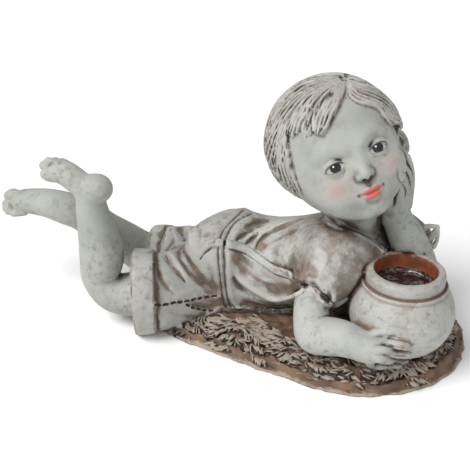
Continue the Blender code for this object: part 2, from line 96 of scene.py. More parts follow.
class Clay:
    def __init__(self, xs, ys, zs, far=12.0):
        self.ax = [np.asarray(a, F) for a in (xs, ys, zs)]
        self.D = np.full([len(a) for a in self.ax], far, F)
        self.L = np.zeros(self.D.shape, np.int8)
        self.far, self.lab, self.cutlab = far, SKIN, None
    def cut(self, lo, hi):
        sl = []
        for a, l, h in zip(self.ax, lo, hi):
            i, j = max(0, int(np.searchsorted(a, l)) - 1), min(len(a), int(np.searchsorted(a, h)) + 1)
            if j - i < 1:
                return None
            sl.append(slice(i, j))
        return tuple(sl)
    def pts(self, sl):
        return self.ax[0][sl[0]][:, None, None], self.ax[1][sl[1]][None, :, None], self.ax[2][sl[2]][None, None, :]
    def put(self, sl, d, k, op):
        D, L = self.D[sl], self.L[sl]
        if op == 'add':
            m = d < D
            L[m] = self.lab
            self.D[sl] = smin(D, d, k)
        else:
            if self.cutlab is not None:
                L[(-d) > D] = self.cutlab
            self.D[sl] = smax(D, -d, k)
    def local(self, sl, c, M):
        x, y, z = self.pts(sl)
        x, y, z = x - F(c[0]), y - F(c[1]), z - F(c[2])
        M = np.asarray(M, float).astype(F)
        return [M[0, i] * x + M[1, i] * y + M[2, i] * z for i in range(3)]
    def ball(self, c, r, M=None, k=4, op='add'):
        r = np.ones(3) * r if np.isscalar(r) else np.asarray(r, float)
        m = r.max() + max(k, 4 if r.max() < 8 else 12) + 1
        c = np.asarray(c, float)[:3]
        sl = self.cut(c - m, c + m)
        if sl is None:
            return
        q = self.local(sl, c, np.eye(3) if M is None else M)
        r = r.astype(F)
        k0 = np.sqrt((q[0] / r[0]) ** 2 + (q[1] / r[1]) ** 2 + (q[2] / r[2]) ** 2)
        k1 = np.sqrt((q[0] / r[0] ** 2) ** 2 + (q[1] / r[1] ** 2) ** 2 + (q[2] / r[2] ** 2) ** 2)
        self.put(sl, (k0 * (k0 - 1) / np.maximum(k1, 1e-6)).astype(F), k, op)
    def limb(self, P, k=4, op='add', n=6, reach=None):
        Q = spline(P, n) if len(P) > 2 and n > 1 else np.asarray(P, float)
        reach = reach or (12 if Q[:, 3].max() > 8 else max(k, 2.5) + 1.5)
        m = Q[:, 3].max() + reach
        sl = self.cut(Q[:, :3].min(0) - m, Q[:, :3].max(0) + m)
        if sl is None:
            return
        T = np.full([s.stop - s.start for s in sl], 1e3, F)
        for a, b in zip(Q[:-1], Q[1:]):
            mm = max(a[3], b[3]) + reach
            s2 = self.cut(np.minimum(a[:3], b[:3]) - mm, np.maximum(a[:3], b[:3]) + mm)
            if s2 is None:
                continue
            s2 = tuple(slice(max(p.start, q.start), min(p.stop, q.stop)) for p, q in zip(sl, s2))
            if any(q.stop <= q.start for q in s2):
                continue
            x, y, z = self.pts(s2)
            d = (b - a)[:3].astype(F)
            L = float(d @ d)
            px, py, pz = x - F(a[0]), y - F(a[1]), z - F(a[2])
            if L < 1e-9:
                v = np.sqrt(px * px + py * py + pz * pz) - F(a[3])
            else:
                t = np.clip((px * d[0] + py * d[1] + pz * d[2]) / F(L), 0, 1)
                v = np.sqrt((px - t * d[0]) ** 2 + (py - t * d[1]) ** 2 + (pz - t * d[2]) ** 2) - (F(a[3]) + t * F(b[3] - a[3]))
            loc = tuple(slice(q.start - p.start, q.stop - p.start) for p, q in zip(sl, s2))
            np.minimum(T[loc], v, out=T[loc])
        self.put(sl, T, k, op)
    def func(self, lo, hi, fn, k=0, op='add'):
        sl = self.cut(lo, hi)
        x, y, z = self.pts(sl)
        self.put(sl, fn(x, y, z).astype(F), k, op)
    def press(self, P, amp, width, shape='soft', only=None):
        """raise (amp > 0) or press in (amp < 0) the surface along a 3-D path; P rows x, y, z, strength"""
        P = np.asarray(P, float)
        reach = width * 2.4 if shape == 'soft' else width + 1.5
        sl = self.cut(P[:, :3].min(0) - reach, P[:, :3].max(0) + reach)
        if sl is None:
            return
        T = np.zeros([s.stop - s.start for s in sl], F)
        for a, b in zip(P[:-1], P[1:]):
            s2 = self.cut(np.minimum(a[:3], b[:3]) - reach, np.maximum(a[:3], b[:3]) + reach)
            if s2 is None:
                continue
            s2 = tuple(slice(max(p.start, q.start), min(p.stop, q.stop)) for p, q in zip(sl, s2))
            if any(q.stop <= q.start for q in s2):
                continue
            x, y, z = self.pts(s2)
            d = (b - a)[:3].astype(F)
            L = max(float(d @ d), 1e-6)
            px, py, pz = x - F(a[0]), y - F(a[1]), z - F(a[2])
            t = np.clip((px * d[0] + py * d[1] + pz * d[2]) / F(L), 0, 1)
            q2 = (px - t * d[0]) ** 2 + (py - t * d[1]) ** 2 + (pz - t * d[2]) ** 2
            q2 = np.maximum(q2 - 0.8 * self.D[s2] ** 2, 0)         # along the skin, so that the full depth is reached
            s = F(a[3]) + t * F(b[3] - a[3])
            if shape == 'soft':
                v = s * np.exp(-q2 / F(width * width))
            else:
                v = s * np.clip((F(width) - np.sqrt(q2)) / F(1.3) + 0.5, 0, 1)
            loc = tuple(slice(q.start - p.start, q.stop - p.start) for p, q in zip(sl, s2))
            np.maximum(T[loc], v, out=T[loc])
        T *= F(amp)
        if only is not None:
            T = T * np.isin(self.L[sl], only)
        self.D[sl] -= T
    def sample(self, P):
        P = np.asarray(P, float)
        I, T = [], []
        for i in range(3):
            a = self.ax[i]
            g = np.interp(P[..., i], a, np.arange(len(a)))
            j = np.clip(g.astype(int), 0, len(a) - 2)
            I.append(j)
            T.append((g - j).astype(F))
        v = 0
        for dx in (0, 1):
            for dy in (0, 1):
                for dz in (0, 1):
                    w = (T[0] if dx else 1 - T[0]) * (T[1] if dy else 1 - T[1]) * (T[2] if dz else 1 - T[2])
                    v = v + w * self.D[I[0] + dx, I[1] + dy, I[2] + dz]
        return v
    def label(self, P, which):
        """share of the cells round each place that carry one of the labels"""
        I, T = [], []
        for i in range(3):
            a = self.ax[i]
            g = np.interp(P[..., i], a, np.arange(len(a)))
            j = np.clip(g.astype(int), 0, len(a) - 2)
            I.append(j)
            T.append((g - j).astype(F))
        v = 0
        for dx in (0, 1):
            for dy in (0, 1):
                for dz in (0, 1):
                    w = (T[0] if dx else 1 - T[0]) * (T[1] if dy else 1 - T[1]) * (T[2] if dz else 1 - T[2])
                    v = v + w * np.isin(self.L[I[0] + dx, I[1] + dy, I[2] + dz], which)
        return v
    def grad(self, P, h=1.2):
        g = np.stack([self.sample(P + np.eye(3)[i] * h) - self.sample(P - np.eye(3)[i] * h) for i in range(3)], -1)
        return g / np.maximum(np.linalg.norm(g, axis=-1, keepdims=True), 1e-6)
    def trace(self, o, d, t0=350.0):
        """where rays meet the clay, and whether they do"""
        o, d = np.broadcast_arrays(np.atleast_2d(o), np.atleast_2d(d))
        t = np.full(len(o), t0)
        done = np.zeros(len(o), bool)
        for _ in range(260):
            v = self.sample(o + d * t[:, None])
            done |= (v < 0.05)
            t = np.where(done, t, t + np.clip(v * 0.7, 0.12, 8))
            if done.all() or (t > t0 + 900).all():
                break
        return o + d * t[:, None], done
    def lay(self, path, n=6, centre=None, smooth=True):
        """places seen on the clay along a path of (across, down); misses are pulled towards the centre"""
        P = spline(np.asarray(path, float), n) if smooth else np.asarray(path, float)
        c = np.array(centre if centre is not None else P.mean(0))
        out = np.full((len(P), 3), np.nan)
        todo = np.ones(len(P), bool)
        for s in np.linspace(1, 0.8, 16):
            uv = c + (P - c) * s
            o = np.array([EYE] * int(todo.sum()))
            d = np.array([sight(*q) for q in uv[todo]])
            p, ok = self.trace(o, d)
            idx = np.nonzero(todo)[0]
            out[idx[ok]] = p[ok]
            todo[idx[ok]] = False
            if not todo.any():
                break
        return out[~np.isnan(out[:, 0])]

def lattice(seed, n=32):
    return np.random.RandomState(seed).rand(n, n, n).astype(F)

def noise(T, x, y, z):
    """smooth value noise from -1 to 1 on broadcast coordinates"""
    n = T.shape[0]
    xi, yi, zi = np.floor(x).astype(int), np.floor(y).astype(int), np.floor(z).astype(int)
    fx, fy, fz = x - xi, y - yi, z - zi
    fx, fy, fz = fx * fx * (3 - 2 * fx), fy * fy * (3 - 2 * fy), fz * fz * (3 - 2 * fz)
    v = 0
    for dx in (0, 1):
        for dy in (0, 1):
            for dz in (0, 1):
                w = (fx if dx else 1 - fx) * (fy if dy else 1 - fy) * (fz if dz else 1 - fz)
                v = v + w * T[(xi + dx) % n, (yi + dy) % n, (zi + dz) % n]
    return v * 2 - 1

# ------------------------------------------------------------------ named sizes of the figure
MOUND_LINE = ((-40, 20, 46), (25, 34, 68), (80, 48, 86), (116, 56, 92), (134, 78, 80))   # x, y, radius
RIM_LOW, RIM_HIGH = 9.0, 19.0
TRUNK = ((205, 272, 68, 46), (228, 265, 68, 50), (244, 261, 69, 52), (275, 263, 72, 47), (305, 259, 75, 44), (338, 251, 76, 42))
BELLY = ((262, 290, 72, 34), (300, 296, 78, 34), (335, 300, 84, 32))
NEAR_THIGH = ((206, 284, 50, 43), (180, 289, 22, 42), (156, 292, -3, 40))
FAR_THIGH = ((206, 256, 90, 33), (184, 254, 97, 32.5), (166, 254, 100, 31))
NEAR_LEG = ((156, 291, -4, 25), (130, 294, -12, 22.5), (113, 291, -18, 20.5), (101, 276, -20, 19.5), (102, 256, -20, 22.5),
            (99, 238, -20, 20.5), (94, 218, -20, 17), (91, 203, -20, 15), (92, 190, -20, 13.5))
NEAR_FOOT = ((97, 187, -20, 12.5), (84, 186, -20, 12.5), (67, 174, -20, 12.5), (57, 171, -20, 11))
FAR_LEG = ((160, 257, 100, 26), (145, 253, 88, 24), (124, 240, 66, 21.5), (104, 229, 45, 20.5), (84, 214, 26, 19),
           (66, 208, 16, 17.5), (48, 203, 10, 15.5), (30, 201, 6, 13.5), (22, 201, 4, 12))
NEAR_ARM = ((330, 270, 26, 25), (319, 290, 10, 18), (312, 305, -2, 17), (311, 320, -9, 16.5), (314, 334, -15, 17.5),
            (326, 336, -18, 18), (341, 338, -20, 16.8), (356, 343, -21, 15), (366, 347, -21, 13.5))
FAR_ARM = ((400, 250, 116, 22), (415, 268, 106, 20), (423, 288, 94, 19), (417, 264, 84, 19), (408, 240, 77, 17.5),
           (399, 222, 72, 14.5), (395, 208, 70, 12.5))
NEAR_CUFF, CUFF_AXIS, NEAR_CUFF_R = (157, 291, -6), unit((-0.87, -0.49, 0.0)), 43.5
FAR_CUFF, FAR_CUFF_AXIS, FAR_CUFF_R = (172, 254, 99), unit((-0.97, -0.10, -0.20)), 33.5
CUFF_WIDE = 24.0
WAIST_MID, WAIST_AXIS = (246, 261, 69), unit((0.93, 0.06, 0.30))
POT_MID = (156.8, 33.0)
POT_BODY, POT_SHOULDER, POT_NECK, POT_LIP, POT_MOUTH = 49.0, 38.5, 35.0, 35.8, 28.0
POT_BASE_Z, POT_BELLY_Z, POT_NECK_Z, POT_TOP_Z, POT_FLOOR_Z = 16.0, 60.0, 89.0, 104.0, 86.0

# head axes: turned, bowed and tilted
TURN, BOW, TILT = math.radians(8), math.radians(-7), math.radians(26)
_f = BACK * math.cos(TURN) + RIGHT * math.sin(TURN)
FWD = unit(_f * math.cos(BOW) + UP * math.sin(BOW))
_u = UP * math.cos(TILT) - RIGHT * math.sin(TILT)
HUP = unit(_u - FWD * (_u @ FWD))
HX = np.cross(HUP, FWD)
HEAD = np.stack([HX, HUP, FWD], 1)
HEAD_MID = seen(337, 148, 58)

def H(x, y, z, r=None):
    p = HEAD_MID + HEAD @ np.array([x, y, z], float)
    return p if r is None else np.array([*p, r])

# ------------------------------------------------------------------ mound
def rim_height(x):
    return RIM_LOW + (RIM_HIGH - RIM_LOW) * np.clip((x + 70) / 280, 0, 1)

POT_TOP_CUT = 106.5
def make_mound(f):
    f.lab = MOUND
    P = spline(np.array(MOUND_LINE, float), 6)
    A, B = lattice(3), lattice(4)
    def slab(x, y, z):
        d2 = None
        for a, b in zip(P[:-1], P[1:]):
            dx, dy = b[0] - a[0], b[1] - a[1]
            t = np.clip(((x - a[0]) * dx + (y - a[1]) * dy) / (dx * dx + dy * dy), 0, 1)
            d = np.sqrt((x - a[0] - t * dx) ** 2 + (y - a[1] - t * dy) ** 2) - (a[2] + t * (b[2] - a[2]))
            d2 = d if d2 is None else np.minimum(d2, d)
        wob = 2.0 * noise(A, x / 21, y / 21, x * 0 + z / 13) + 1.0 * noise(B, x / 6.5, y / 6.5, z / 3.5)
        lift = rim_height(x)
        ledge = z * 0.62 + 1.5 * noise(A, x / 26, y / 26, z * 0 + 5)
        step = 2.1 * np.abs(np.sin(ledge * 0.55)) + 0.5 * noise(B, x / 12, y / 12, z / 1.3)      # strata in the bank
        prof = np.clip(-d2 / 25, 0, 1) ** 0.75
        near = np.exp(-np.clip(-d2 - 20, 0, 200) / 7)
        warp = 2.2 * noise(A, x / 30, y / 30, z * 0 + 2)
        ledges = 2.4 * np.sin(prof * 17 + warp) * near                                            # ledges that follow the outline
        rock = 3.0 * (0.45 - 1.9 * np.abs(noise(A, x / 10, y / 10, z * 0 + 9))) * near
        top = lift * (0.33 + 0.67 * prof) + 9 * (1 - np.exp(-np.clip(-d2 - 14, 0, 100) / 22)) + ledges + rock
        top = top + 1.3 * noise(B, x / 8, y / 8, z * 0) + 0.8 * noise(A, x / 3.4, y / 3.4, z * 0)
        return smax(d2 + 0.55 * z + wob + step, z - top, 3)
    f.func((-110, -60, -6), (230, 170, 40), slab)

# ------------------------------------------------------------------ body and clothes
def make_body(f):
    f.lab = CLOTH
    for r in (TRUNK, NEAR_THIGH):
        f.limb(rows(*r), k=10)
    f.ball(seen(234, 250, 58), (39, 42, 43.5), k=9)
    f.ball(seen(219, 252, 40), (36, 34, 36), k=9)
    f.limb(rows(*FAR_THIGH), k=8)
    f.limb(rows(*BELLY), k=10)
    f.limb(rows((280, 264, 74, 46), (308, 262, 60, 41), (338, 258, 42, 35)), k=12)
    f.ball(seen(366, 272, 56), (30, 28, 30), k=12)
    f.ball(seen(398, 246, 112), (28, 26, 30), k=12)
    f.limb(rows((372, 256, 84, 20), (392, 256, 98, 20)), k=10)

def frame_of(axis):
    a = unit(axis)
    h = np.array([0, 0, 1.0]) if abs(a[2]) < 0.9 else np.array([1.0, 0, 0])
    b = unit(np.cross(h, a))
    return np.stack([b, np.cross(a, b), a], 1)

def make_cuff(f, mid, axis, r, wide, seed):
    M = frame_of(axis)
    c = np.asarray(mid, float)
    T = lattice(seed)
    m = r + wide + 22
    sl = f.cut(c - m, c + m)
    x, y, h = f.local(sl, c, M)
    rho, phi = np.sqrt(x * x + y * y), np.arctan2(y, x)
    wav = 0.9 * np.sin(phi * 3 + seed) + 0.6 * np.sin(phi * 7 + 2 * seed) + 0.5 * noise(T, x / 9, y / 9, h / 9)
    R = r + wav + 1.2 * np.clip(h / wide, 0, 1)
    band = smax(rho - R, np.abs(h - wide / 2) - wide / 2 - 0.7 * np.sin(phi * 2 + seed), 4)
    f.put(sl, band.astype(F), 1.2, 'add')
    seam = np.sqrt((rho - R - 0.4) ** 2 + (h - 0.5) ** 2) - 1.5          # the fold line against the leg of the shorts
    f.put(sl, seam.astype(F), 1.2, 'sub')
    mouth = smax(rho - (R - 6.5), wide - 5 - h, 2)                       # the cuff stands off the leg
    mouth = np.maximum(mouth, h - wide - 34)
    f.put(sl, mouth.astype(F), 1.5, 'sub')

def make_sleeve(f, top, hem, r0, r1, seed, wave=4.0, hollow=True):
    a, b = np.asarray(top, float), np.asarray(hem, float)
    M = frame_of(b - a)
    L = np.linalg.norm(b - a)
    m = L + r1 + 14
    sl = f.cut(b - m, b + m)
    x, y, h = f.local(sl, a, M)
    rho, phi = np.sqrt(x * x + y * y), np.arctan2(y, x)
    t = np.clip(h / L, 0, 1.2)
    rho = np.where(h < 0, np.sqrt(rho * rho + h * h), rho)
    R = r0 + (r1 - r0) * t + (1.3 * np.sin(phi * 5 + seed) + 0.8 * np.sin(phi * 9 + 2 * seed)) * t ** 3
    end = L + wave * np.sin(phi * 3 + seed) * 0.6 + wave * 0.35 * np.sin(phi * 7 + 1.7 * seed)
    f.put(sl, smax(rho - R, h - end, 2.5).astype(F), 16, 'add')
    if hollow:
        f.put(sl, np.maximum(smax(rho - R + 3.2, end - 7 - h, 2), h - L - 14).astype(F), 1.0, 'sub')

STRAP = ((200.5, 256.5), (204, 249.5), (209, 244.5), (216, 243), (228, 244), (238, 246.5), (247, 250), (254, 255), (261, 260), (269, 265.5), (276, 269.5), (290, 274), (304, 278.6), (318, 283), (331, 287), (343, 291))
FORK = ((205, 236), (211, 236), (216, 240), (224, 243))
WAIST_A = ((245, 208.5), (235, 218), (226, 227), (221, 236), (218.3, 249), (218.7, 263), (220.7, 282), (222.6, 297.7), (226.5, 310))
WAIST_B = ((253, 213), (239, 219.5), (231, 228), (226, 238), (223.8, 249), (224.4, 263), (224.4, 274), (226.2, 292), (229.7, 305), (235, 315.5))
WAIST_C = ((259, 217), (246, 224), (237, 232), (231, 243), (229.5, 255), (230, 270), (230.5, 285), (233, 298), (238.5, 309))
FOLD_LINES = []
def make_clothes(f):
    only = (CLOTH,)
    def fold(path, amp, width, n=5, sharp=0):
        FOLD_LINES.append((path, amp, width))
        P = f.lay(path, n)
        if len(P) < 3:
            return
        t = np.linspace(0, 1, len(P))
        s = np.clip(np.minimum(t, 1 - t) * 5, 0.2, 1)
        f.press(np.c_[P, s], amp, width, only=only)
        if sharp:
            f.press(np.c_[P, s], -sharp, 0.9, only=only)
    HOLLOWS = (
        # under the strap
        (((234, 278), (239, 286), (246, 292.5), (254, 297.5), (266, 303.5), (281, 306), (296, 303.5)), 3.6, 3.0, 1.2),
        (((238, 256), (247, 266), (257, 277), (270, 284), (288, 287)), 2.2, 4.6, 0),
        (((244, 300), (251, 306.5), (260, 312.5), (268, 313)), 3.2, 3.6, 1.0),
        (((250, 301), (268, 309), (294, 307)), 2.0, 3.8, 0),
        (((270, 290), (284, 291), (295, 286)), 1.4, 3.4, 0),
        # above the strap
        (((236, 240), (243, 235), (251, 231)), 3.0, 2.2, 1.2),
        (((245.5, 244), (251, 239), (257, 235)), 2.8, 2.2, 1.0),
        (((256, 248), (259, 241), (264, 236), (275, 230.5), (288, 225), (300, 220)), 3.2, 2.6, 1.2),
        (((262, 249), (272, 242), (284, 236), (294, 231.5)), 1.5, 2.8, 0),
        (((246, 226), (256, 223), (268, 221)), 2.2, 3.4, 0),
        (((268, 262), (280, 268), (300, 273), (318, 279)), 1.3, 1.8, 0),
        # shorts
        (((165, 254), (168, 260), (175, 269), (185, 282)), 3.0, 2.2, 1.2),
        (((155.6, 264), (160, 277), (166, 287), (174, 294)), 2.2, 2.8, 0.8),
        (((176, 220), (180, 230), (185, 241)), 4.2, 3.8, 0),
        (((167, 226), (163, 236), (158.5, 246)), 2.8, 2.2, 0.8),
        (((190, 262), (199, 274), (206, 288)), 1.4, 4.5, 0),
        (((191, 303.5), (204, 306.8), (218, 304.8)), 2.4, 3.2, 0),
        (((196, 222), (200, 232), (199, 244)), 1.6, 4.0, 0),
        (((207, 262), (212, 276), (213, 290)), 1.0, 3.4, 0),
        (((166, 312), (182, 316), (204, 315)), 1.2, 4.0, 0),
    )
    RIDGES = (
        (((234, 270), (240, 279), (247, 285.5), (261, 294.5), (276, 299.5), (290, 297), (304, 291.5), (313, 289.5)), 2.8, 3.0),
        (((242, 262), (252, 271), (262, 279), (276, 283)), 1.4, 2.6),
        (((234, 302), (241, 310), (249, 315), (261, 317.5), (272, 317), (285, 315), (295, 312)), 2.4, 2.8),
        (((242, 246), (250, 236), (262, 229), (280, 220)), 1.8, 2.0),
        (((252, 250), (257, 241), (262, 234), (274, 226), (290, 220)), 1.6, 2.0),
        (((250, 296.5), (266, 300), (284, 301.5)), 1.2, 2.0),
        (((169, 251), (178, 264), (189, 280)), 1.5, 2.4),
        (((168, 226), (166, 238), (164, 246)), 1.8, 3.0),
        (((186, 220), (190, 231), (190, 244)), 2.0, 3.2),
        (((172, 222), (174, 232), (178, 243)), 1.6, 2.2),
        (((318, 252), (322, 268), (318, 282)), 1.6, 5.0),
        (((176, 296), (190, 291), (206, 288)), 1.0, 3.4),
    )
    for path, a, w, sharp in HOLLOWS:
        fold(path, -a, w, sharp=sharp)
    for path, a, w in RIDGES:
        fold(path, a, w)
    # hidden side: quieter folds dropped onto the back
    for i in range(11):
        x0 = -40 + 13 * i
        o = np.array([[x0 + 24 * t, 160, 22 + 62 * t + 10 * math.sin(i * 1.9)] for t in np.linspace(0, 1, 10)])
        hitp, ok = f.trace(o, np.array([0, -1.0, 0]), 0.0)
        hitp = hitp[ok]
        if len(hitp) > 3:
            t = np.linspace(0, 1, len(hitp))
            f.press(np.c_[hitp, np.clip(np.minimum(t, 1 - t) * 4, 0.15, 1)], -2.2 if i % 2 else 1.9, 3.2, only=only)
    # waistband: as seen on the open side, by its own plane on the hidden one
    for path, amp, width in ((WAIST_A, -2.4, 0.95), (WAIST_B, -3.2, 1.35), (WAIST_C, 2.0, 3.0)):
        P = f.lay(path, 8)
        f.press(np.c_[P, np.ones(len(P))], amp, width, only=only)
    c = seen(*WAIST_MID)
    sl = f.cut((-75, 66, 4), (25, 160, 130))
    x, y, z = f.pts(sl)
    n = WAIST_AXIS
    h = (x - F(c[0])) * F(n[0]) + (y - F(c[1])) * F(n[1]) + (z - F(c[2])) * F(n[2])
    W = lattice(9)
    h = h + 0.7 * noise(W, x / 16, y / 16, z / 16)
    band = -2.4 * np.exp(-((h + 4.0) / 1.0) ** 2) - 3.0 * np.exp(-((h - 3.0) / 1.35) ** 2) + 1.8 * np.exp(-((h - 8.5) / 3.0) ** 2)
    band = band * np.clip((y - 72) / 14, 0, 1)
    f.D[sl] -= (band * np.isin(f.L[sl], (CLOTH,))).astype(F)
    # strap: a flat ribbon over the folds, with a fork where it is buttoned on
    P = f.lay(STRAP, 6)
    s = np.clip(np.linspace(0.25, 6, len(P)), 0, 1)
    f.press(np.c_[P, s], 2.8, 4.1, 'flat')
    P = f.lay([(u + 0.4, v + 5.4) for u, v in STRAP[4:]], 5)
    f.press(np.c_[P, np.ones(len(P))], -1.5, 1.0)
    P = f.lay([(u, v - 5.2) for u, v in STRAP[5:]], 5)
    f.press(np.c_[P, np.ones(len(P))], -1.2, 0.9)
    for path, amp, width in ((((200.2, 259.4), (204, 254), (211, 248.6)), -2.2, 0.9), (((203.5, 237), (208, 235), (214, 234)), -1.3, 1.5),
                             (((214, 242.5), (215.5, 239.5)), -1.6, 0.8), (((301.8, 264.5), (302.6, 270.5)), -2.8, 1.2)):
        P = f.lay(path, 4)
        f.press(np.c_[P, np.ones(len(P))], amp, width)
    # pleats where the strap ends under the arm
    for a, b in (((326, 286), (333, 291)), ((334, 287.5), (340, 291)), ((330, 284), (345, 286))):
        P = f.lay((a, b), 4)
        f.press(np.c_[P, np.ones(len(P))], -1.4, 1.1)

STITCH = ((154.5, 304.6), (160, 305), (167, 304), (176, 302.4), (186.2, 301.4), (196.4, 298.8), (206.6, 297.2), (219, 295.8))
POCKET = ((186, 304.2), (191.5, 307.2), (197, 308.6), (204, 310.4), (210, 311), (219.5, 309.4))
DASHES = []
def make_stitches(f):
    for path in (STITCH, POCKET):
        P = f.lay(path, 8)
        f.press(np.c_[P, np.ones(len(P))], 0.8, 2.4)
        f.press(np.c_[P, np.ones(len(P))], -0.35, 0.9)
        L = np.r_[0, np.cumsum(np.linalg.norm(np.diff(P, axis=0), axis=1))]
        s, step, dash = 0.8, 7.8, 3.7
        while s + dash < L[-1]:
            q = np.array([[np.interp(v, L, P[:, i]) for i in range(3)] for v in np.linspace(s, s + dash, 4)])
            f.press(np.c_[q, np.ones(4)], -1.5, 0.85)
            DASHES.append(q)
            s += step

NECK_EDGE = ((327, 218), (337, 225), (348, 231.5), (358, 236.5), (368, 241), (376, 246), (382, 252.5))
NECK_RIGHT = ((382, 252.5), (386, 248), (390, 247.5), (394, 252))
def make_neckline(f):
    """the skin of the neck goes down behind the collar's edge"""
    for path in (NECK_EDGE, NECK_RIGHT):
        P = f.lay(path, 5)
        f.press(np.c_[P, np.ones(len(P))], 2.0, 2.2)
        Q = f.lay([(u + 2.4, v - 3.4) for u, v in path], 5)
        f.press(np.c_[Q, np.ones(len(Q))], -3.0, 1.8)

SLEEVE_HEM = ((285, 300), (291, 297), (298, 294.5), (305, 290.5), (311, 289.5), (316, 294), (320, 301), (326, 304.5), (334, 304.5), (341, 301), (346, 298))
def make_hems(f):
    """rolled wavy hem of the near sleeve, and the ruffle of the far one"""
    f.lab = CLOTH
    P = f.lay(SLEEVE_HEM, 5)
    N = f.grad(P, 2.5)
    t = np.linspace(0, 1, len(P))
    f.limb(np.c_[P + N * (1.0 - 1.6 * np.clip(1 - t * 5, 0, 1))[:, None], (2.1 + 0.5 * np.sin(t * 17)) * np.clip(0.45 + t * 3, 0, 1)], k=2.2, n=1)
    Q = f.lay([(u + 0.5, v + 5.5) for u, v in SLEEVE_HEM[2:]], 5)
    f.press(np.c_[Q, np.ones(len(Q))], -1.2, 1.8)
    for a, b in (((309, 279), (312, 289)), ((322, 291), (323, 302)), ((300, 284), (303, 291)), ((334, 293), (333, 303))):
        P = f.lay((a, b), 4)
        f.press(np.c_[P, np.linspace(0.3, 1, len(P))], 1.8, 2.0, only=(CLOTH,))
    for a, b in (((316, 284), (318, 297)), ((329, 292), (329, 303)), ((304, 282), (307, 289))):
        P = f.lay((a, b), 4)
        f.press(np.c_[P, np.linspace(0.3, 1, len(P))], -1.8, 1.5, only=(CLOTH,))
    for r in (((420, 233, 100, 4.0), (427, 226.5, 101, 2.6), (437.5, 226.5, 104, 1.9)), ((421, 238, 100, 4.5), (429, 236, 102, 2.6), (438, 227.5, 104, 1.8)),
              ((426, 246, 102, 4.5), (431, 240, 102, 2.4), (437.5, 233, 104, 1.7)), ((428, 249, 104, 4.5), (433, 246, 104, 2.4), (437, 240, 105, 1.7)),
              ((437.5, 226.5, 104, 1.8), (438.2, 234, 105, 1.7), (436.6, 242, 105.5, 1.8), (434, 247, 106, 2.2)), ((420, 240, 106, 6), (430, 238, 107, 3.2), (435, 234, 107, 2))):
        f.limb(rows(*r), k=0.8, n=4)

# ------------------------------------------------------------------ head, face and hair
def make_head(f):
    f.lab = SKIN
    f.limb(rows((342, 252, 72, 27), (352, 222, 66, 25), (350, 195, 60, 26)), k=8)
    f.limb(rows((372, 236, 88, 17), (364, 205, 74, 18)), k=8)
    f.ball(H(0, 4, -4), (56, 59, 58), HEAD, k=6)
    f.ball(H(0, -20, 9), (46, 44, 43), HEAD, k=14)
    f.ball(H(0, -46, 28), (24, 18, 19), HEAD, k=14)
    for s in (-1, 1):
        f.ball(H(s * 23.5, -29, 29), (20, 21, 20), HEAD, k=12)
    f.ball(H(0, 20, 21), (42, 33, 32), HEAD, k=12)

EYE_X, EYE_Y = 20.5, -9.0
def eye_place(s):
    return H(s * EYE_X, EYE_Y, 44.2)

def face_point(f, x, y, dz=0.0, r=None):
    p, ok = f.trace(H(x, y, 90), -FWD, 0.0)
    q = p[0] + FWD * dz
    return q if r is None else np.array([*q, r])

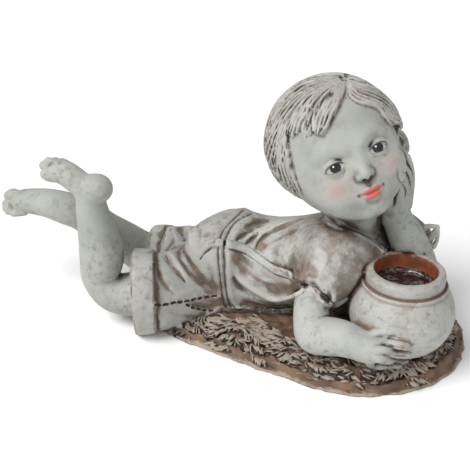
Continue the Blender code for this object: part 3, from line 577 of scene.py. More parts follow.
def make_face(f):
    f.lab = SKIN
    # muzzle, chin, brows and sockets
    f.ball(H(0, -39, 41), (17, 12, 13), HEAD, k=9)
    f.ball(H(0, -56, 36), (11, 8.5, 10), HEAD, k=8)
    for s in (-1, 1):
        f.ball(H(s * 21, EYE_Y + 0.5, 62), (12.5, 8.5, 9), HEAD, k=9, op='sub')
        f.limb(np.array([H(s * 31, 4.5, 43, 3.2), H(s * 20, 8.0, 49, 3.8), H(s * 9, 3.5, 52, 3.4)]), k=7)
    # nose
    f.limb(np.array([H(0, 1, 48.6, 4), H(0, -10, 51.4, 3.6), H(0, -18.5, 54.6, 4.1), H(0, -22.8, 56.6, 4.7)]), k=7)
    for s in (-1, 1):
        f.ball(H(s * 5.2, -24.0, 53.4), (3.2, 2.9, 3.5), HEAD, k=3.0)
    for s in (-1, 1):
        f.ball(H(s * 2.7, -27.4, 55.6), (1.5, 1.0, 2.2), HEAD, k=0.8, op='sub')
        f.press(np.array([face_point(f, s * 9.3, -22, 0, 0.6), face_point(f, s * 10, -25, 0, 1), face_point(f, s * 9.3, -28, 0, 0.5)]), -0.5, 1.2)
    f.limb(np.array([face_point(f, 0, -31, 0.3, 1.1), face_point(f, 0, -35.2, 0.3, 1.3)]), k=2.0, op='sub')
    # eyes: ball, then lids with an almond opening
    for s in (-1, 1):
        c = eye_place(s)
        f.ball(c, 9.4, HEAD, k=0.4)
        sl = f.cut(c - 15, c + 15)
        x, y, z = f.local(sl, c, HEAD)
        x = x * s
        rad = np.sqrt(x * x + y * y + z * z)
        u = np.clip((x - 0.6) / 9.0, -1, 1)
        top, bot = 4.3 * (1 - u * u) ** 0.75 - 0.3 * u, -3.2 * (1 - u * u) ** 0.8 - 0.3 * u
        opening = np.maximum(y - top, bot - y)
        lids = np.maximum(rad - 10.8, -(opening) * 0.8)
        lids = np.maximum(lids, 2.0 - z)
        f.put(sl, lids.astype(F), 0.8, 'add')
        crease = []
        for a in np.linspace(-8, 9, 9):
            up = 6.9 * (1 - (a / 11) ** 2) + 0.5
            crease.append([*(c + HEAD @ np.array([s * a, up, math.sqrt(max(0, 10.8 ** 2 - a * a - up * up))])), 1.0])
        f.press(np.array(crease), -0.8, 0.9)
        low = []
        for a in np.linspace(-6, 8, 7):
            dn = -6.4 * (1 - (a / 12) ** 2) - 0.2
            low.append([*(c + HEAD @ np.array([s * a, dn, math.sqrt(max(0, 10.8 ** 2 - a * a - dn * dn))])), 0.8])
        f.press(np.array(low), -0.4, 1.2)
    # mouth
    pts = lambda a, dz, r: np.array([face_point(f, x, y, dz, rr) for (x, y), rr in zip(a, r)])
    f.limb(pts(((-10.5, -39.6), (-6, -38.8), (-2.8, -37.7), (0, -38.4), (2.8, -37.7), (6, -38.8), (10.5, -39.6)), -0.6, (0.9, 1.9, 2.4, 2.2, 2.4, 1.9, 0.9)), k=1.4)
    f.limb(pts(((-7.8, -42.0), (-4, -43.2), (0, -43.8), (4, -43.2), (7.8, -42.0)), -0.5, (1.1, 2.3, 2.9, 2.3, 1.1)), k=1.6)
    P = pts(((-11.4, -39.4), (-7, -40.4), (-3, -40.7), (0, -41.1), (3, -40.7), (7, -40.4), (11.4, -39.4)), 0, [1] * 7)
    f.press(P, -1.1, 0.9)
    for s in (-1, 1):
        f.ball(face_point(f, s * 11.8, -39.4), 1.0, k=1.5, op='sub')
    f.limb(pts(((-5, -48.6), (0, -49.4), (5, -48.6)), 1.0, (1.4, 2.0, 1.4)), k=3.5, op='sub')

def make_ears(f):
    f.lab = SKIN
    for s, x0 in ((1, 52.0),):
        c = H(s * x0, -20.5, 3)
        w = unit(HEAD @ np.array([s * 0.93, 0, -0.36]))
        face = np.cross(HUP, w) * s
        if face @ FWD < 0:
            face = -face
        f.ball(c + w * 4.2, (3.2, 10.5, 7.2), np.stack([face, HUP, w], 1), k=2)
        P = []
        for a in np.radians(np.linspace(-95, 200, 14)):
            P.append([*(c + HUP * (11.3 * math.sin(a)) + w * (4.4 + 6.6 * math.cos(a)) + face * 1.6), 1.75])
        f.limb(np.array(P), k=0.8)
        f.ball(c + w * 4.4 + HUP * 2.0 + face * 3.2, (2.6, 6.8, 3.7), np.stack([face, HUP, w], 1), k=0.8, op='sub')
        P = [[*(c + HUP * (6.3 * math.sin(a) + 1) + w * (3.4 + 3.6 * math.cos(a)) + face * 1.6), 1.1] for a in np.radians(np.linspace(-70, 80, 6))]
        f.limb(np.array(P), k=0.6)
        f.ball(c - HUP * 9.5 + w * 3.2 + face * 1.2, (2.6, 3.6, 3.4), HEAD, k=1.2)

HAIR_R, HAIR_MID = np.array([60.0, 58.0, 58.0]), np.array([0.0, 7.0, -9.0])
def scalp(lon, lat, lift=0.0):
    a, b = math.radians(lon), math.radians(lat)
    d = np.array([math.sin(a) * math.cos(b), math.sin(b), math.cos(a) * math.cos(b)])
    k = 1 / math.sqrt(((d / HAIR_R) ** 2).sum()) + lift
    return H(*(HAIR_MID + d * k))

def strands(f, base, guides, counts, seed, r=1.5, lift=((0.6, 2.2, 1.4),), ends=(0.90, 1.0), fill=True, wave=0.35, k=0.25):
    """strands laid side by side between guide paths seen on the hair; counts = strands between each pair"""
    rs = np.random.RandomState(seed)
    n = 12
    G = []
    for g in guides:
        q = spline(np.array(g, float), 8)
        L = np.r_[0, np.cumsum(np.linalg.norm(np.diff(q, axis=0), axis=1))]
        G.append(np.array([[np.interp(t * L[-1], L, q[:, i]) for i in (0, 1)] for t in np.linspace(0, 1, n)]))
    todo, under = [], []
    for gi, cnt in enumerate(counts):
        a, b = G[gi], G[gi + 1]
        for i in range(cnt):
            w = (i + 0.5 + 0.18 * rs.uniform(-1, 1)) / cnt
            end = rs.uniform(*ends)
            full = a * (1 - w) + b * w
            path = np.array([[np.interp(t * end, np.linspace(0, 1, n), full[:, j]) for j in (0, 1)] for t in np.linspace(0, 1, n)])
            path += (np.sin(np.linspace(0, 1, n) * math.pi * 2 + rs.uniform(0, 6)) * wave * rs.uniform(0.4, 1))[:, None]
            P = base.lay(path, 1, centre=(334, 146), smooth=False)
            if len(P) < 4:
                continue
            N = base.grad(P, 2.5)
            t = np.linspace(0, 1, len(P))
            l = lift[gi % len(lift)]
            rr = r * np.interp(t, (0, 0.18, 0.75, 1), (0.6, 1.0, 1.05, 0.55)) * rs.uniform(0.88, 1.14)
            ll = np.interp(t, (0, 0.5, 1), l) + rs.uniform(-0.45, 0.55)
            todo.append(np.c_[P + N * ll[:, None], rr])
            if fill:
                under.append(np.c_[P + N * (ll - 1.9 - 0.5 * r)[:, None] * 1.0, rr + 0.9])
    for P in under:
        f.limb(P, k=0.8, n=2)
    for P in todo:
        f.limb(P, k=k, n=3)

def make_hair(f):
    f.lab = HAIR
    hm, hr = H(*HAIR_MID), HAIR_R
    f.ball(hm, hr - 0.6, HEAD, k=1.0)
    f.ball(H(43, 8, -14), (18.5, 19.5, 22), HEAD, k=3)
    cap = Clay(np.arange(0, 165, 2.5), np.arange(-20, 135, 2.5), np.arange(110, 285, 2.5))
    cap.ball(hm, hr, HEAD, k=0)
    cap.ball(H(43, 8, -14), (18.5, 19.5, 22), HEAD, k=3)
    cap.ball(H(0, 4, -4), (56, 59, 58), HEAD, k=2)
    cap.ball(H(0, 20, 21), (42, 33, 32), HEAD, k=12)
    cap.ball(H(0, -20, 9), (46, 44, 43), HEAD, k=12)
    rs = np.random.RandomState(5)
    # back of the head: rows of strands from the crown down to the nape, the upper rows over the lower
    for lat0, lat1, count, lift in ((22, -46, 64, 0.4), (56, -10, 62, 1.4), (86, 24, 44, 2.2)):
        for i in range(count):
            lon = 58 + 244 * (i + 0.5 + 0.2 * rs.uniform(-1, 1)) / count
            drift = rs.uniform(-3, 3) + (9 if lon < 180 else -9)
            end = lat1 + rs.uniform(-8, 8)
            P = []
            for t in np.linspace(0, 1, 8):
                P.append([*scalp(lon + drift * t * t, lat0 + (end - lat0) * t, lift + 0.9 * math.sin(math.pi * t) - 1.0 * t + rs.uniform(-0.1, 0.1)), 2.1 - 1.0 * t])
            f.limb(np.array(P), k=0.3, n=3)
    # left of the parting: one fan from the fringe to the top of the head
    fan = (((346.5, 84), (341.5, 98), (334.5, 113), (328.5, 124), (321.5, 135)),
           ((345, 83), (328, 95), (317, 110), (313, 122), (314, 134.5)),
           ((343, 83), (324, 95), (311, 111), (302, 125), (296, 139)),
           ((341, 82), (314, 96), (299, 112), (291, 124), (288, 134)),
           ((340, 81), (310, 92), (291, 108), (279, 125), (266, 144)),
           ((339, 79.5), (307, 84), (287, 99), (272, 117), (262, 137)),
           ((338, 77.5), (313, 76), (292, 85), (275, 101), (264, 120)),
           ((337, 74.5), (316, 72.5), (298, 78.5), (281, 93), (270, 109)))
    strands(f, cap, fan, (6, 3, 4, 3, 4, 5, 3), 12, r=1.5, lift=((0.4, 4.0, 3.0), (0.2, 1.4, 0.8), (0.4, 3.4, 2.6), (0.4, 3.0, 2.2), (0.4, 2.6, 1.6), (0.4, 2.0, 1.0), (0.4, 1.4, 0.8)))
    strands(f, cap, (((332, 94), (319, 108), (309, 122), (306, 133)), ((326, 97), (312, 113), (303, 127), (300, 138))), (2,), 16, r=1.2, lift=((0.2, 1.2, 0.8),))
    # temple, falling in front of the hidden ear, with the locks that sweep behind it
    side = (((273, 108), (267, 122), (262.5, 134), (260, 146)), ((279, 109), (274, 124), (268, 138), (262, 151.5)), ((284, 111), (280, 128), (273, 144), (266, 161)),
            ((287, 115), (282, 134), (277, 153), (273, 172)), ((288.5, 118), (284, 138), (281, 160), (285, 184)), ((289.5, 120), (286.5, 140), (287, 162), (295, 189)), ((291, 123), (288, 142), (291, 164), (305, 197)))
    strands(f, cap, side, (2, 2, 2, 2, 2, 2), 17, r=1.65, lift=((0.6, 1.4, 1.4), (0.6, 2.0, 2.0), (0.8, 2.8, 2.6), (0.8, 3.2, 2.4), (0.8, 3.4, 2.2), (0.8, 3.0, 1.4)), wave=0.6)
    # right of the parting, swept back over the ear
    right = (((347, 86), (349, 96.5), (358, 104), (369, 106), (377.5, 110), (382, 118), (390, 127)), ((347.5, 84), (354, 94.5), (364, 101), (375, 105), (384, 112), (393, 124)),
             ((348, 82), (361, 89.5), (373, 95), (385, 103), (394, 112), (401, 122)), ((348.5, 79.5), (365, 84), (379, 91), (391, 101), (399, 111), (406.5, 122)), ((349.5, 77), (367, 80.5), (381, 87.5), (392, 98), (400, 109), (406.5, 118)))
    strands(f, cap, right, (2, 3, 3, 2), 19, r=1.5, lift=((0.4, 3.0, 2.6), (0.4, 3.0, 3.4), (0.4, 2.6, 4.4), (0.4, 2.0, 5.5)), wave=0.6)
    strands(f, cap, (((382, 117), (391, 123), (399, 128), (405, 130)), ((384, 110), (394, 114), (402, 118), (407.5, 123))), (5,), 21, r=1.35, lift=((2.4, 4.6, 5.4),), wave=0.3)
    curl = np.array([(388.7 + 3.4 * math.cos(a), 104.6 + 3.2 * math.sin(a)) for a in np.linspace(-2.6, 2.4, 10)])
    P = cap.lay(curl, 1, centre=(334, 146), smooth=False)
    f.limb(np.c_[P + cap.grad(P, 2.5) * 3.6, np.full(len(P), 1.5)], k=0.3, n=2)
    # furrows between the locks
    for path, amp, width in ((((345.5, 77), (346.5, 84), (346.8, 93)), -2.4, 1.4), (((331, 97), (322, 106), (312, 119), (305, 134)), -1.6, 2.6), (((297, 94), (304, 89), (311, 84.5)), -2.4, 1.8),
                             (((285, 104), (292, 98)), -1.8, 1.0), (((318, 82), (330, 80.5)), -1.2, 0.9), (((300, 82), (315, 77)), -1.2, 0.9), (((278, 112), (270, 128), (264, 141)), -1.4, 1.1),
                             (((352, 92), (358, 97), (361, 99)), -2.4, 1.2), (((269, 140), (264, 148)), -2.6, 1.8), (((271, 150), (267, 158)), -2.2, 1.4), (((279, 158), (276, 172)), -2.0, 1.3),
                             (((360, 84), (372, 89)), -1.4, 1.0), (((376, 99), (388, 106)), -1.6, 1.0)):
        P = cap.lay(path, 4, centre=(334, 146))
        P = P + cap.grad(P, 2.5) * 2.4
        f.press(np.c_[P, np.ones(len(P))], amp, width, only=(HAIR,))

# ------------------------------------------------------------------ hands and feet
NEAR_HAND = ((364, 347, -21, 13), (372, 349.5, -22, 12), (379, 352, -23, 9.5))
NEAR_FINGERS = (((369, 342.0, 5.0), (376, 341.0, 4.7), (386, 341.2, 4.6), (397, 342.8, 4.3), (406.0, 344.8, 3.7)),
                ((369, 349.5, 4.8), (377, 350.4, 4.4), (388, 350.9, 4.2), (399, 352.0, 3.9), (406.5, 353.0, 3.3)),
                ((369, 357.0, 4.6), (377, 358.6, 4.1), (387, 359.0, 3.9), (398, 359.8, 3.6), (405, 360.4, 3.0)),
                ((368, 363.5, 4.2), (376, 365.6, 3.8), (384, 366.4, 3.6), (392, 367.0, 3.2), (398.5, 367.2, 2.7)))
NEAR_THUMB = ((368, 339, -19, 6.4), (377, 334.5, -16, 5.6), (386, 332.5, -14, 4.9), (391, 330.8, -13, 4.4), (395, 329.6, -12, 3.4))
FAR_HAND = ((394, 216, 72, 12.5), (396.5, 207, 70, 11.5), (400, 199, 68, 9))
FAR_FINGERS = (((398.5, 204, 66, 7), (399.6, 193, 62, 5.3), (399.8, 184.5, 58, 4.3)),
               ((404, 205, 70, 6), (406.2, 191, 66, 4.3), (403.8, 180, 62, 4.0), (401.6, 173.5, 59, 3.4)),
               ((407, 205, 76, 5), (410, 190, 73, 3.8), (408.6, 176, 70, 3.6), (404.5, 168, 66, 3.3), (401.6, 165.5, 64, 3.0)),
               ((407, 203, 82, 5), (411, 184, 80, 3.6), (410.4, 168, 77, 3.4), (407.2, 157, 74, 3.2)))
FAR_THUMB = ((390, 214, 64, 6), (388, 205, 58, 5), (389, 197, 54, 4.2), (391, 191, 52, 3.6))

def make_limbs(f):
    f.lab = SKIN
    for r in (NEAR_LEG, FAR_LEG):
        f.limb(rows(*r), k=2.5)
    f.limb(rows(*NEAR_FOOT), k=6)
    f.ball(seen(100, 189, -20), (12.2, 11.5, 12), k=6)          # heel
    f.limb(rows(*NEAR_ARM[2:]), k=1.0)
    f.limb(rows(*FAR_ARM[2:]), k=2.0)

def make_hands(f):
    f.lab = SKIN
    f.limb(rows(*NEAR_HAND), k=4)
    f.limb(rows(*NEAR_THUMB), k=2.0)
    f.limb(rows(*FAR_HAND), k=4)
    for r in FAR_FINGERS:
        f.limb(rows(*r), k=0.7)
    f.limb(rows(*FAR_THUMB), k=1.5)
    for path, a, w in ((((398.6, 169), (398.2, 178), (403.6, 186), (405.6, 192), (404, 199)), 1.8, 0.9), (((403, 169.5), (407, 178), (409.4, 185), (409.4, 192)), 1.5, 0.9),
                       (((390, 217.5), (393, 220), (397, 221)), 1.0, 1.6)):
        P = f.lay(path, 5)
        if len(P) > 2:
            f.press(np.c_[P, np.ones(len(P))], -a, w)

def make_fingers(f):
    """near fingers lie over the pot: their lines are laid on what carries them"""
    f.lab = SKIN
    for r in NEAR_FINGERS:
        r = np.array(r, float)
        q = spline(r, 5)
        P, keep = [], []
        o = np.array([EYE] * len(q))
        d = np.array([sight(u, v) for u, v, _ in q])
        p, ok = f.trace(o, d)
        p, q = p[ok], q[ok]
        N = f.grad(p, 2.0)
        p = p + N * (q[:, 2] * np.interp(q[:, 0], (371, 386), (-0.75, 0.55)))[:, None]
        for _ in range(3):
            p[1:-1] = 0.25 * p[:-2] + 0.5 * p[1:-1] + 0.25 * p[2:]
        P.append(np.c_[p, q[:, 2]])
        f.limb(P[0], k=0.5, n=1)
    f.limb(rows(*NEAR_THUMB), k=0.8)
    for path, a, w in ((((378, 336.4), (388, 336.0), (398, 338.0)), 1.2, 0.9), (((382, 345.8), (395, 347.0), (408, 348.8)), 1.6, 0.9), (((382, 354.8), (395, 355.6), (407, 356.7)), 1.6, 0.9),
                       (((382, 362.6), (391, 363.2), (401, 363.9)), 1.4, 0.9)):
        P = f.lay(path, 5)
        if len(P) > 2:
            f.press(np.c_[P, np.ones(len(P))], -a, w)

NEAR_TOES = (((58, 176, -24, 6.2), (51, 175.5, -24, 6.6), (46.5, 174, -24, 6.2)),
             ((56, 170, -22, 5.2), (48, 167, -20, 5.0), (44, 165.5, -19, 4.8)),
             ((60, 167, -20, 5.0), (53, 163.5, -17, 4.6), (48.5, 161.5, -15, 4.4)),
             ((65, 166, -18, 4.6), (59, 162.8, -14, 4.2), (55, 161, -12, 4.0)),
             ((70, 167, -16, 4.2), (66, 163.5, -11, 3.9), (62.5, 161.5, -9, 3.6)))
FAR_TOES = (((20, 196, 6, 6.0), (13, 194, 6, 6.0), (9, 196, 6, 5.6)),
            ((18, 202, 3, 5.0), (9, 202.5, 3, 4.6), (6, 204, 3, 4.3)),
            ((18, 206, 1, 4.8), (9, 207.5, 1, 4.2), (6, 208.5, 1, 4.0)),
            ((20, 210, -1, 4.4), (11, 211, -1, 3.9), (8, 211.5, -1, 3.6)),
            ((24, 212, -2, 4.2), (16, 213.5, -2, 3.5), (13, 213.8, -2, 3.2)))
def make_feet(f):
    f.lab = SKIN
    for r in NEAR_TOES + FAR_TOES:
        f.limb(rows(*r), k=1.2)
    for path in (((22, 190), (16, 196), (13, 204), (13, 211)), ((66, 172), (60, 168), (56, 164))):
        P = f.lay(path, 5)
        if len(P) > 2:
            f.press(np.c_[P, np.ones(len(P))], -1.2, 1.4)

# ------------------------------------------------------------------ pot
def make_pot(f):
    f.lab = POT
    cx, cy = POT_MID
    T = lattice(21)
    lo, hi = (cx - 60, cy - 60, 8), (cx + 60, cy + 60, POT_TOP_CUT)
    sl = f.cut(lo, hi)
    x, y, z = f.pts(sl)
    wob = 0.5 * noise(T, x / 22, y / 22, z / 22) + 0.18 * noise(T, x / 6, y / 6, z / 6)
    rho = np.sqrt((x - cx) ** 2 + (y - cy) ** 2) + wob
    r0, r1 = POT_BODY, POT_BELLY_Z - POT_BASE_Z
    k0 = np.sqrt((rho / r0) ** 2 + ((z - POT_BELLY_Z) / r1) ** 2)
    k1 = np.sqrt((rho / r0 ** 2) ** 2 + ((z - POT_BELLY_Z) / r1 ** 2) ** 2)
    bodyd = k0 * (k0 - 1) / np.maximum(k1, 1e-6)
    bodyd = smax(bodyd, z - POT_NECK_Z, 2.5)
    collar = smax(rho - POT_LIP - 0.5 * np.sin((z - 92) * 0.26), np.abs(z - 88) - 16, 3)
    f.put(sl, bodyd.astype(F), 0.8, 'add')
    f.put(sl, collar.astype(F), 0.6, 'add')
    ring = np.sqrt((rho - POT_SHOULDER + 0.8) ** 2 + ((z - POT_NECK_Z - 0.4) * 0.9) ** 2) - 1.9     # bead round the neck
    f.put(sl, ring.astype(F), 0.8, 'add')
    for z0, out, r in ((2.2, 0.9, 1.0), (7.0, 0.9, 0.6)):
        own = np.isin(f.L[sl], (POT,))
        g = np.sqrt((rho - POT_LIP - out) ** 2 + (z - POT_NECK_Z - z0) ** 2) - r
        f.D[sl] = np.where(own, smax(f.D[sl], -g, 0.8), f.D[sl]).astype(F)
    f.cutlab = POTIN
    mouth = smax(rho - POT_MOUTH - 0.12 * np.clip(z - POT_TOP_Z + 6, 0, 9) ** 1.2, POT_FLOOR_Z + 0.5 * noise(T, x / 5, y / 5, z * 0 + 3) - z, 5)
    mouth = np.maximum(mouth, z - POT_TOP_Z - 2)
    f.put(sl, mouth.astype(F), 1.0, 'sub')
    f.cutlab = None

# ------------------------------------------------------------------ grass on the mound
def make_grass(f):
    """curved blades pressed over the top of the mound, all round"""
    f.lab = MOUND
    rs = np.random.RandomState(8)
    base = Clay(np.arange(-110, 235, 2.0), np.arange(-60, 175, 2.0), np.arange(-6, 45, 2.0))
    make_mound(base)
    P = spline(np.array(MOUND_LINE, float), 6)
    n_tuft = 0
    spots = []
    for gx in np.arange(-86, 216, 6.0):
        for gy in np.arange(-44, 160, 6.0):
            x, y = gx + rs.uniform(-2.4, 2.4), gy + rs.uniform(-2.4, 2.4)
            d2 = min(math.hypot(x - q[0], y - q[1]) - q[2] for q in P)
            if -78 < d2 < -9 - 3 * math.sin(x * 0.13):
                spots.append((x, y, d2))
    o = np.array([[x, y, 60.0] for x, y, _ in spots])
    down = np.array([0, 0, -1.0])
    gp, ok = base.trace(o, down, 0.0)
    cover, _ = f.trace(np.array([[x, y, 300.0] for x, y, _ in spots]), down, 0.0)
    for (x, y, d2), g, okk, cv in zip(spots, gp, ok, cover):
        if not okk or (cv[2] > g[2] + 34 and d2 < -30):
            continue
        mid = P[np.argmin([math.hypot(x - q[0], y - q[1]) - q[2] for q in P])]
        out = math.atan2(y - mid[1], x - mid[0])
        lean = out + 0.75 * math.sin(x * 0.085 + 1.3) + rs.uniform(-0.35, 0.35)
        side0 = 1 if math.sin(x * 0.11 + y * 0.07) > 0 else -1
        for j in range(4):
            a = lean + (j - 1.5) * 0.2 + rs.uniform(-0.08, 0.08)
            L = rs.uniform(8, 12.5) * (0.7 if d2 > -16 else 1)
            bend = side0 * rs.uniform(0.6, 1.1)
            q = np.array([x, y, g[2] - 1.3]) + np.array([math.cos(lean + 1.57), math.sin(lean + 1.57), 0]) * (j - 1.5) * 2.1
            B = []
            for t in np.linspace(0, 1, 6):
                aa = a + bend * t
                q2 = q + np.array([math.cos(aa), math.sin(aa), 0]) * L * 0.8 * t + np.array([0, 0, 1.0]) * L * 0.26 * math.sin(2.7 * t)
                if d2 > -24:                                   # follow the fall of the bank
                    q2[2] -= 0.5 * L * 0.8 * t * max(0.0, math.cos(aa - out))
                B.append([*q2, 1.05 - 0.4 * t])
            f.limb(np.array(B), k=0.4, n=2)
            n_tuft += 1
    print("blades", n_tuft)

# ------------------------------------------------------------------ the mesh
def surface_nets(D, ax):
    n = D.shape
    ins = D < 0
    c = ins[:-1, :-1, :-1].astype(np.uint8)
    for dx in (0, 1):
        for dy in (0, 1):
            for dz in (0, 1):
                if dx | dy | dz:
                    c = c + ins[dx:n[0] - 1 + dx, dy:n[1] - 1 + dy, dz:n[2] - 1 + dz]
    act = np.nonzero((c > 0) & (c < 8))
    del c
    I = np.stack(act, 1)
    N = len(I)
    idx = np.full((n[0] - 1, n[1] - 1, n[2] - 1), -1, np.int32)
    idx[act] = np.arange(N, dtype=np.int32)
    corner = {(a, b, d): D[I[:, 0] + a, I[:, 1] + b, I[:, 2] + d] for a in (0, 1) for b in (0, 1) for d in (0, 1)}
    acc, cnt = np.zeros((N, 3)), np.zeros(N)
    ks = list(corner)
    for a in ks:
        for b in ks:
            if sum(abs(p - q) for p, q in zip(a, b)) == 1 and a < b:
                va, vb = corner[a], corner[b]
                m = (va < 0) != (vb < 0)
                t = va[m] / (va[m] - vb[m])
                acc[m] += np.array(a) + t[:, None] * (np.array(b) - np.array(a))
                cnt[m] += 1
    G = I + acc / cnt[:, None]
    V = np.stack([np.interp(G[:, i], np.arange(n[i]), ax[i]) for i in range(3)], 1)
    quads = []
    for axis in range(3):
        s0, s1 = [slice(None)] * 3, [slice(None)] * 3
        s0[axis], s1[axis] = slice(0, n[axis] - 1), slice(1, n[axis])
        a, b = ins[tuple(s0)], ins[tuple(s1)]
        e = np.stack(np.nonzero(a != b), 1)
        o = [i for i in range(3) if i != axis]
        ok = (e[:, o[0]] > 0) & (e[:, o[1]] > 0) & (e[:, o[0]] < n[o[0]] - 1) & (e[:, o[1]] < n[o[1]] - 1)
        e = e[ok]
        flip = a[tuple(e.T)]
        def g(d0, d1):
            q = e.copy()
            q[:, o[0]] += d0
            q[:, o[1]] += d1
            return idx[q[:, 0], q[:, 1], q[:, 2]]
        q = np.stack([g(-1, -1), g(0, -1), g(0, 0), g(-1, 0)], 1)
        if axis == 1:
            flip = ~flip
        q[~flip] = q[~flip][:, ::-1]
        quads.append(q)
    return V, np.concatenate(quads)

def steps(spans):
    out = []
    for a, b, s in spans:
        out.append(np.arange(a, b - 1e-6, (b - a) / max(1, round((b - a) / s))))
    out.append([spans[-1][1]])
    return np.concatenate(out)

LEGS, MAIN, FINE = ((1.2, 0.98, 0.62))
f = Clay(steps(((-296, -112, LEGS), (-112, 8, MAIN), (8, 142, FINE), (142, 222, MAIN))),
         steps(((-62, -48, LEGS), (-48, 110, FINE), (110, 166, LEGS))),
         steps(((-6, 30, FINE), (30, 132, MAIN), (132, 276, FINE))))
print("grid", f.D.shape, round(time.time() - T0, 1))
make_mound(f)
make_body(f)
make_cuff(f, seen(*NEAR_CUFF), CUFF_AXIS, NEAR_CUFF_R, CUFF_WIDE, 31)
make_cuff(f, seen(*FAR_CUFF), FAR_CUFF_AXIS, FAR_CUFF_R, CUFF_WIDE * 0.8, 33)
make_clothes(f)
make_stitches(f)
make_head(f)
make_neckline(f)
print("body", round(time.time() - T0, 1))
f.lab = CLOTH
make_sleeve(f, seen(336, 262, 30), seen(317, 291, 8), 28, 21.5, 1.2, 1.2, hollow=False)
make_sleeve(f, seen(398, 236, 118), seen(411, 250, 111), 24, 25.5, 2.5, 3.0)
make_limbs(f)
make_hems(f)
make_hands(f)
make_feet(f)
make_face(f)
make_ears(f)
make_hair(f)
print("head", round(time.time() - T0, 1))
make_grass(f)
make_pot(f)
make_fingers(f)
sl = f.cut((-400, -400, -20), (400, 400, 6))
f.D[sl] = np.maximum(f.D[sl], -f.pts(sl)[2])               # flat underside
print("sculpted", round(time.time() - T0, 1))
def join_diagonals(D):
    """cells that touch the surface only across a corner are filled, so that every edge has two faces"""
    ins = D < 0
    for _ in range(8):
        hits = 0
        for axis in range(3):
            o = [i for i in range(3) if i != axis]
            def part(i, j):
                s = [slice(None)] * 3
                s[o[0]] = slice(0, -1) if i == 0 else slice(1, None)
                s[o[1]] = slice(0, -1) if j == 0 else slice(1, None)
                return ins[tuple(s)]
            a, b, c, d = part(0, 0), part(1, 0), part(0, 1), part(1, 1)
            m = (a == d) & (b == c) & (a != b)
            hits += int(np.count_nonzero(m))
            for q in (a, b, c, d):
                q |= m
        if not hits:
            break
    D[ins & (D >= 0)] = -0.05
def comb_hair(f):
    # furrows and locks that run from the parting down round the head
    c = H(*HAIR_MID)
    M = frame_of(f.lay(((345, 80), (345.5, 80)), 1)[0] - c)
    sl = f.cut((8, -40, 112), (168, 150, 276))
    xl, yl, zl = f.local(sl, c, M)
    x, y, z = f.pts(sl)
    A, B = lattice(41), lattice(42)
    phi, th = np.arctan2(yl, xl), np.arctan2(np.sqrt(xl * xl + yl * yl), zl)
    w = noise(A, x / 15, y / 15, z / 15)
    w2 = noise(B, x / 6, y / 6, z / 6)
    v1 = np.abs(np.sin(50 * phi + 2.6 * w + 0.5 * w2))
    v2 = np.abs(np.sin(15 * phi + 2.2 * noise(A, x / 26, y / 26, z / 26) + 0.5 * w))
    amp = np.clip((np.sin(th) - 0.15) / 0.3, 0, 1) * (np.abs(f.D[sl]) < 5)
    hx, hy, hz = f.local(sl, HEAD_MID, HEAD)
    open_side = np.clip((hz + 20) / 25, 0, 1) * np.clip((hx + 4) / 14, 0, 1)                   # the right front has its own locks
    fringe = np.clip((hz - 2) / 18, 0, 1)
    dis = (1.15 * (0.8 + 0.3 * w2) * (v1 - 0.62) + 0.6 * (v2 - 0.68)) * amp * (1 - 0.5 * open_side) * (1 - 0.45 * fringe)
    f.D[sl] -= (dis * (f.L[sl] == HAIR)).astype(F)
comb_hair(f)
join_diagonals(f.D)
V, Q = surface_nets(f.D, f.ax)
V[:, 2] = np.where(V[:, 2] < 0.6, np.maximum(V[:, 2], 0), V[:, 2])
print("mesh", len(V), len(Q), round(time.time() - T0, 1))

# one mesh, thinned evenly but kept fine where the carving is
me = bpy.data.meshes.new("statue_form")
me.vertices.add(len(V))
me.vertices.foreach_set("co", ((V - SHIFT) * UNIT).astype(F).ravel())
me.loops.add(len(Q) * 4)
me.loops.foreach_set("vertex_index", Q.astype(np.int32).ravel())
me.polygons.add(len(Q))
me.polygons.foreach_set("loop_start", np.arange(0, len(Q) * 4, 4, dtype=np.int32))
me.polygons.foreach_set("loop_total", np.full(len(Q), 4, np.int32))
me.update()
me.validate()
statue = bpy.data.objects.new("whitewashed_statue", me)
bpy.context.scene.collection.objects.link(statue)

def near_lines(P, lines, reach):
    """distance from places to the nearest of some paths, within reach"""
    out = np.full(len(P), reach, float)
    for q in lines:
        lo, hi = q.min(0) - reach, q.max(0) + reach
        idx = np.nonzero(((P > lo) & (P < hi)).all(1))[0]
        for a, b in zip(q[:-1], q[1:]):
            d = b - a
            t = np.clip(((P[idx] - a) @ d) / max(d @ d, 1e-9), 0, 1)
            out[idx] = np.minimum(out[idx], np.linalg.norm(P[idx] - a - t[:, None] * d, axis=1))
    return out

TARGET = 197500
local = (V - HEAD_MID) @ HEAD
face_w = np.clip(1.3 - np.linalg.norm((local - np.array([0, -18, 46])) / np.array([42, 42, 30]), axis=1), 0, 1)
stitch_w = (near_lines(V, DASHES, 4.0) < 2.6).astype(float)
detail = 0.35 + 0.2 * f.label(V, (HAIR,)) + 0.12 * f.label(V, (MOUND,))
detail = detail - 0.12 * (V[:, 1] > 95)
detail = np.clip(np.maximum(np.maximum(detail, 0.95 * face_w), 0.95 * stitch_w), 0.05, 0.95)
g = statue.vertex_groups.new(name="thin")
for level in range(20):
    m = (detail >= level / 20) & (detail < (level + 1) / 20)
    if m.any():
        g.add(np.nonzero(m)[0].tolist(), 1 - (level + 0.5) / 20, 'REPLACE')
dm = statue.modifiers.new("thin", 'DECIMATE')
dm.ratio = min(1.0, TARGET / (2 * len(Q)))
dm.vertex_group, dm.vertex_group_factor = "thin", 0.00001
dg = bpy.context.evaluated_depsgraph_get()
thin = bpy.data.meshes.new_from_object(statue.evaluated_get(dg))
statue.modifiers.clear()
statue.data = thin
statue.vertex_groups.clear()
me = statue.data
me.name = "statue_form"
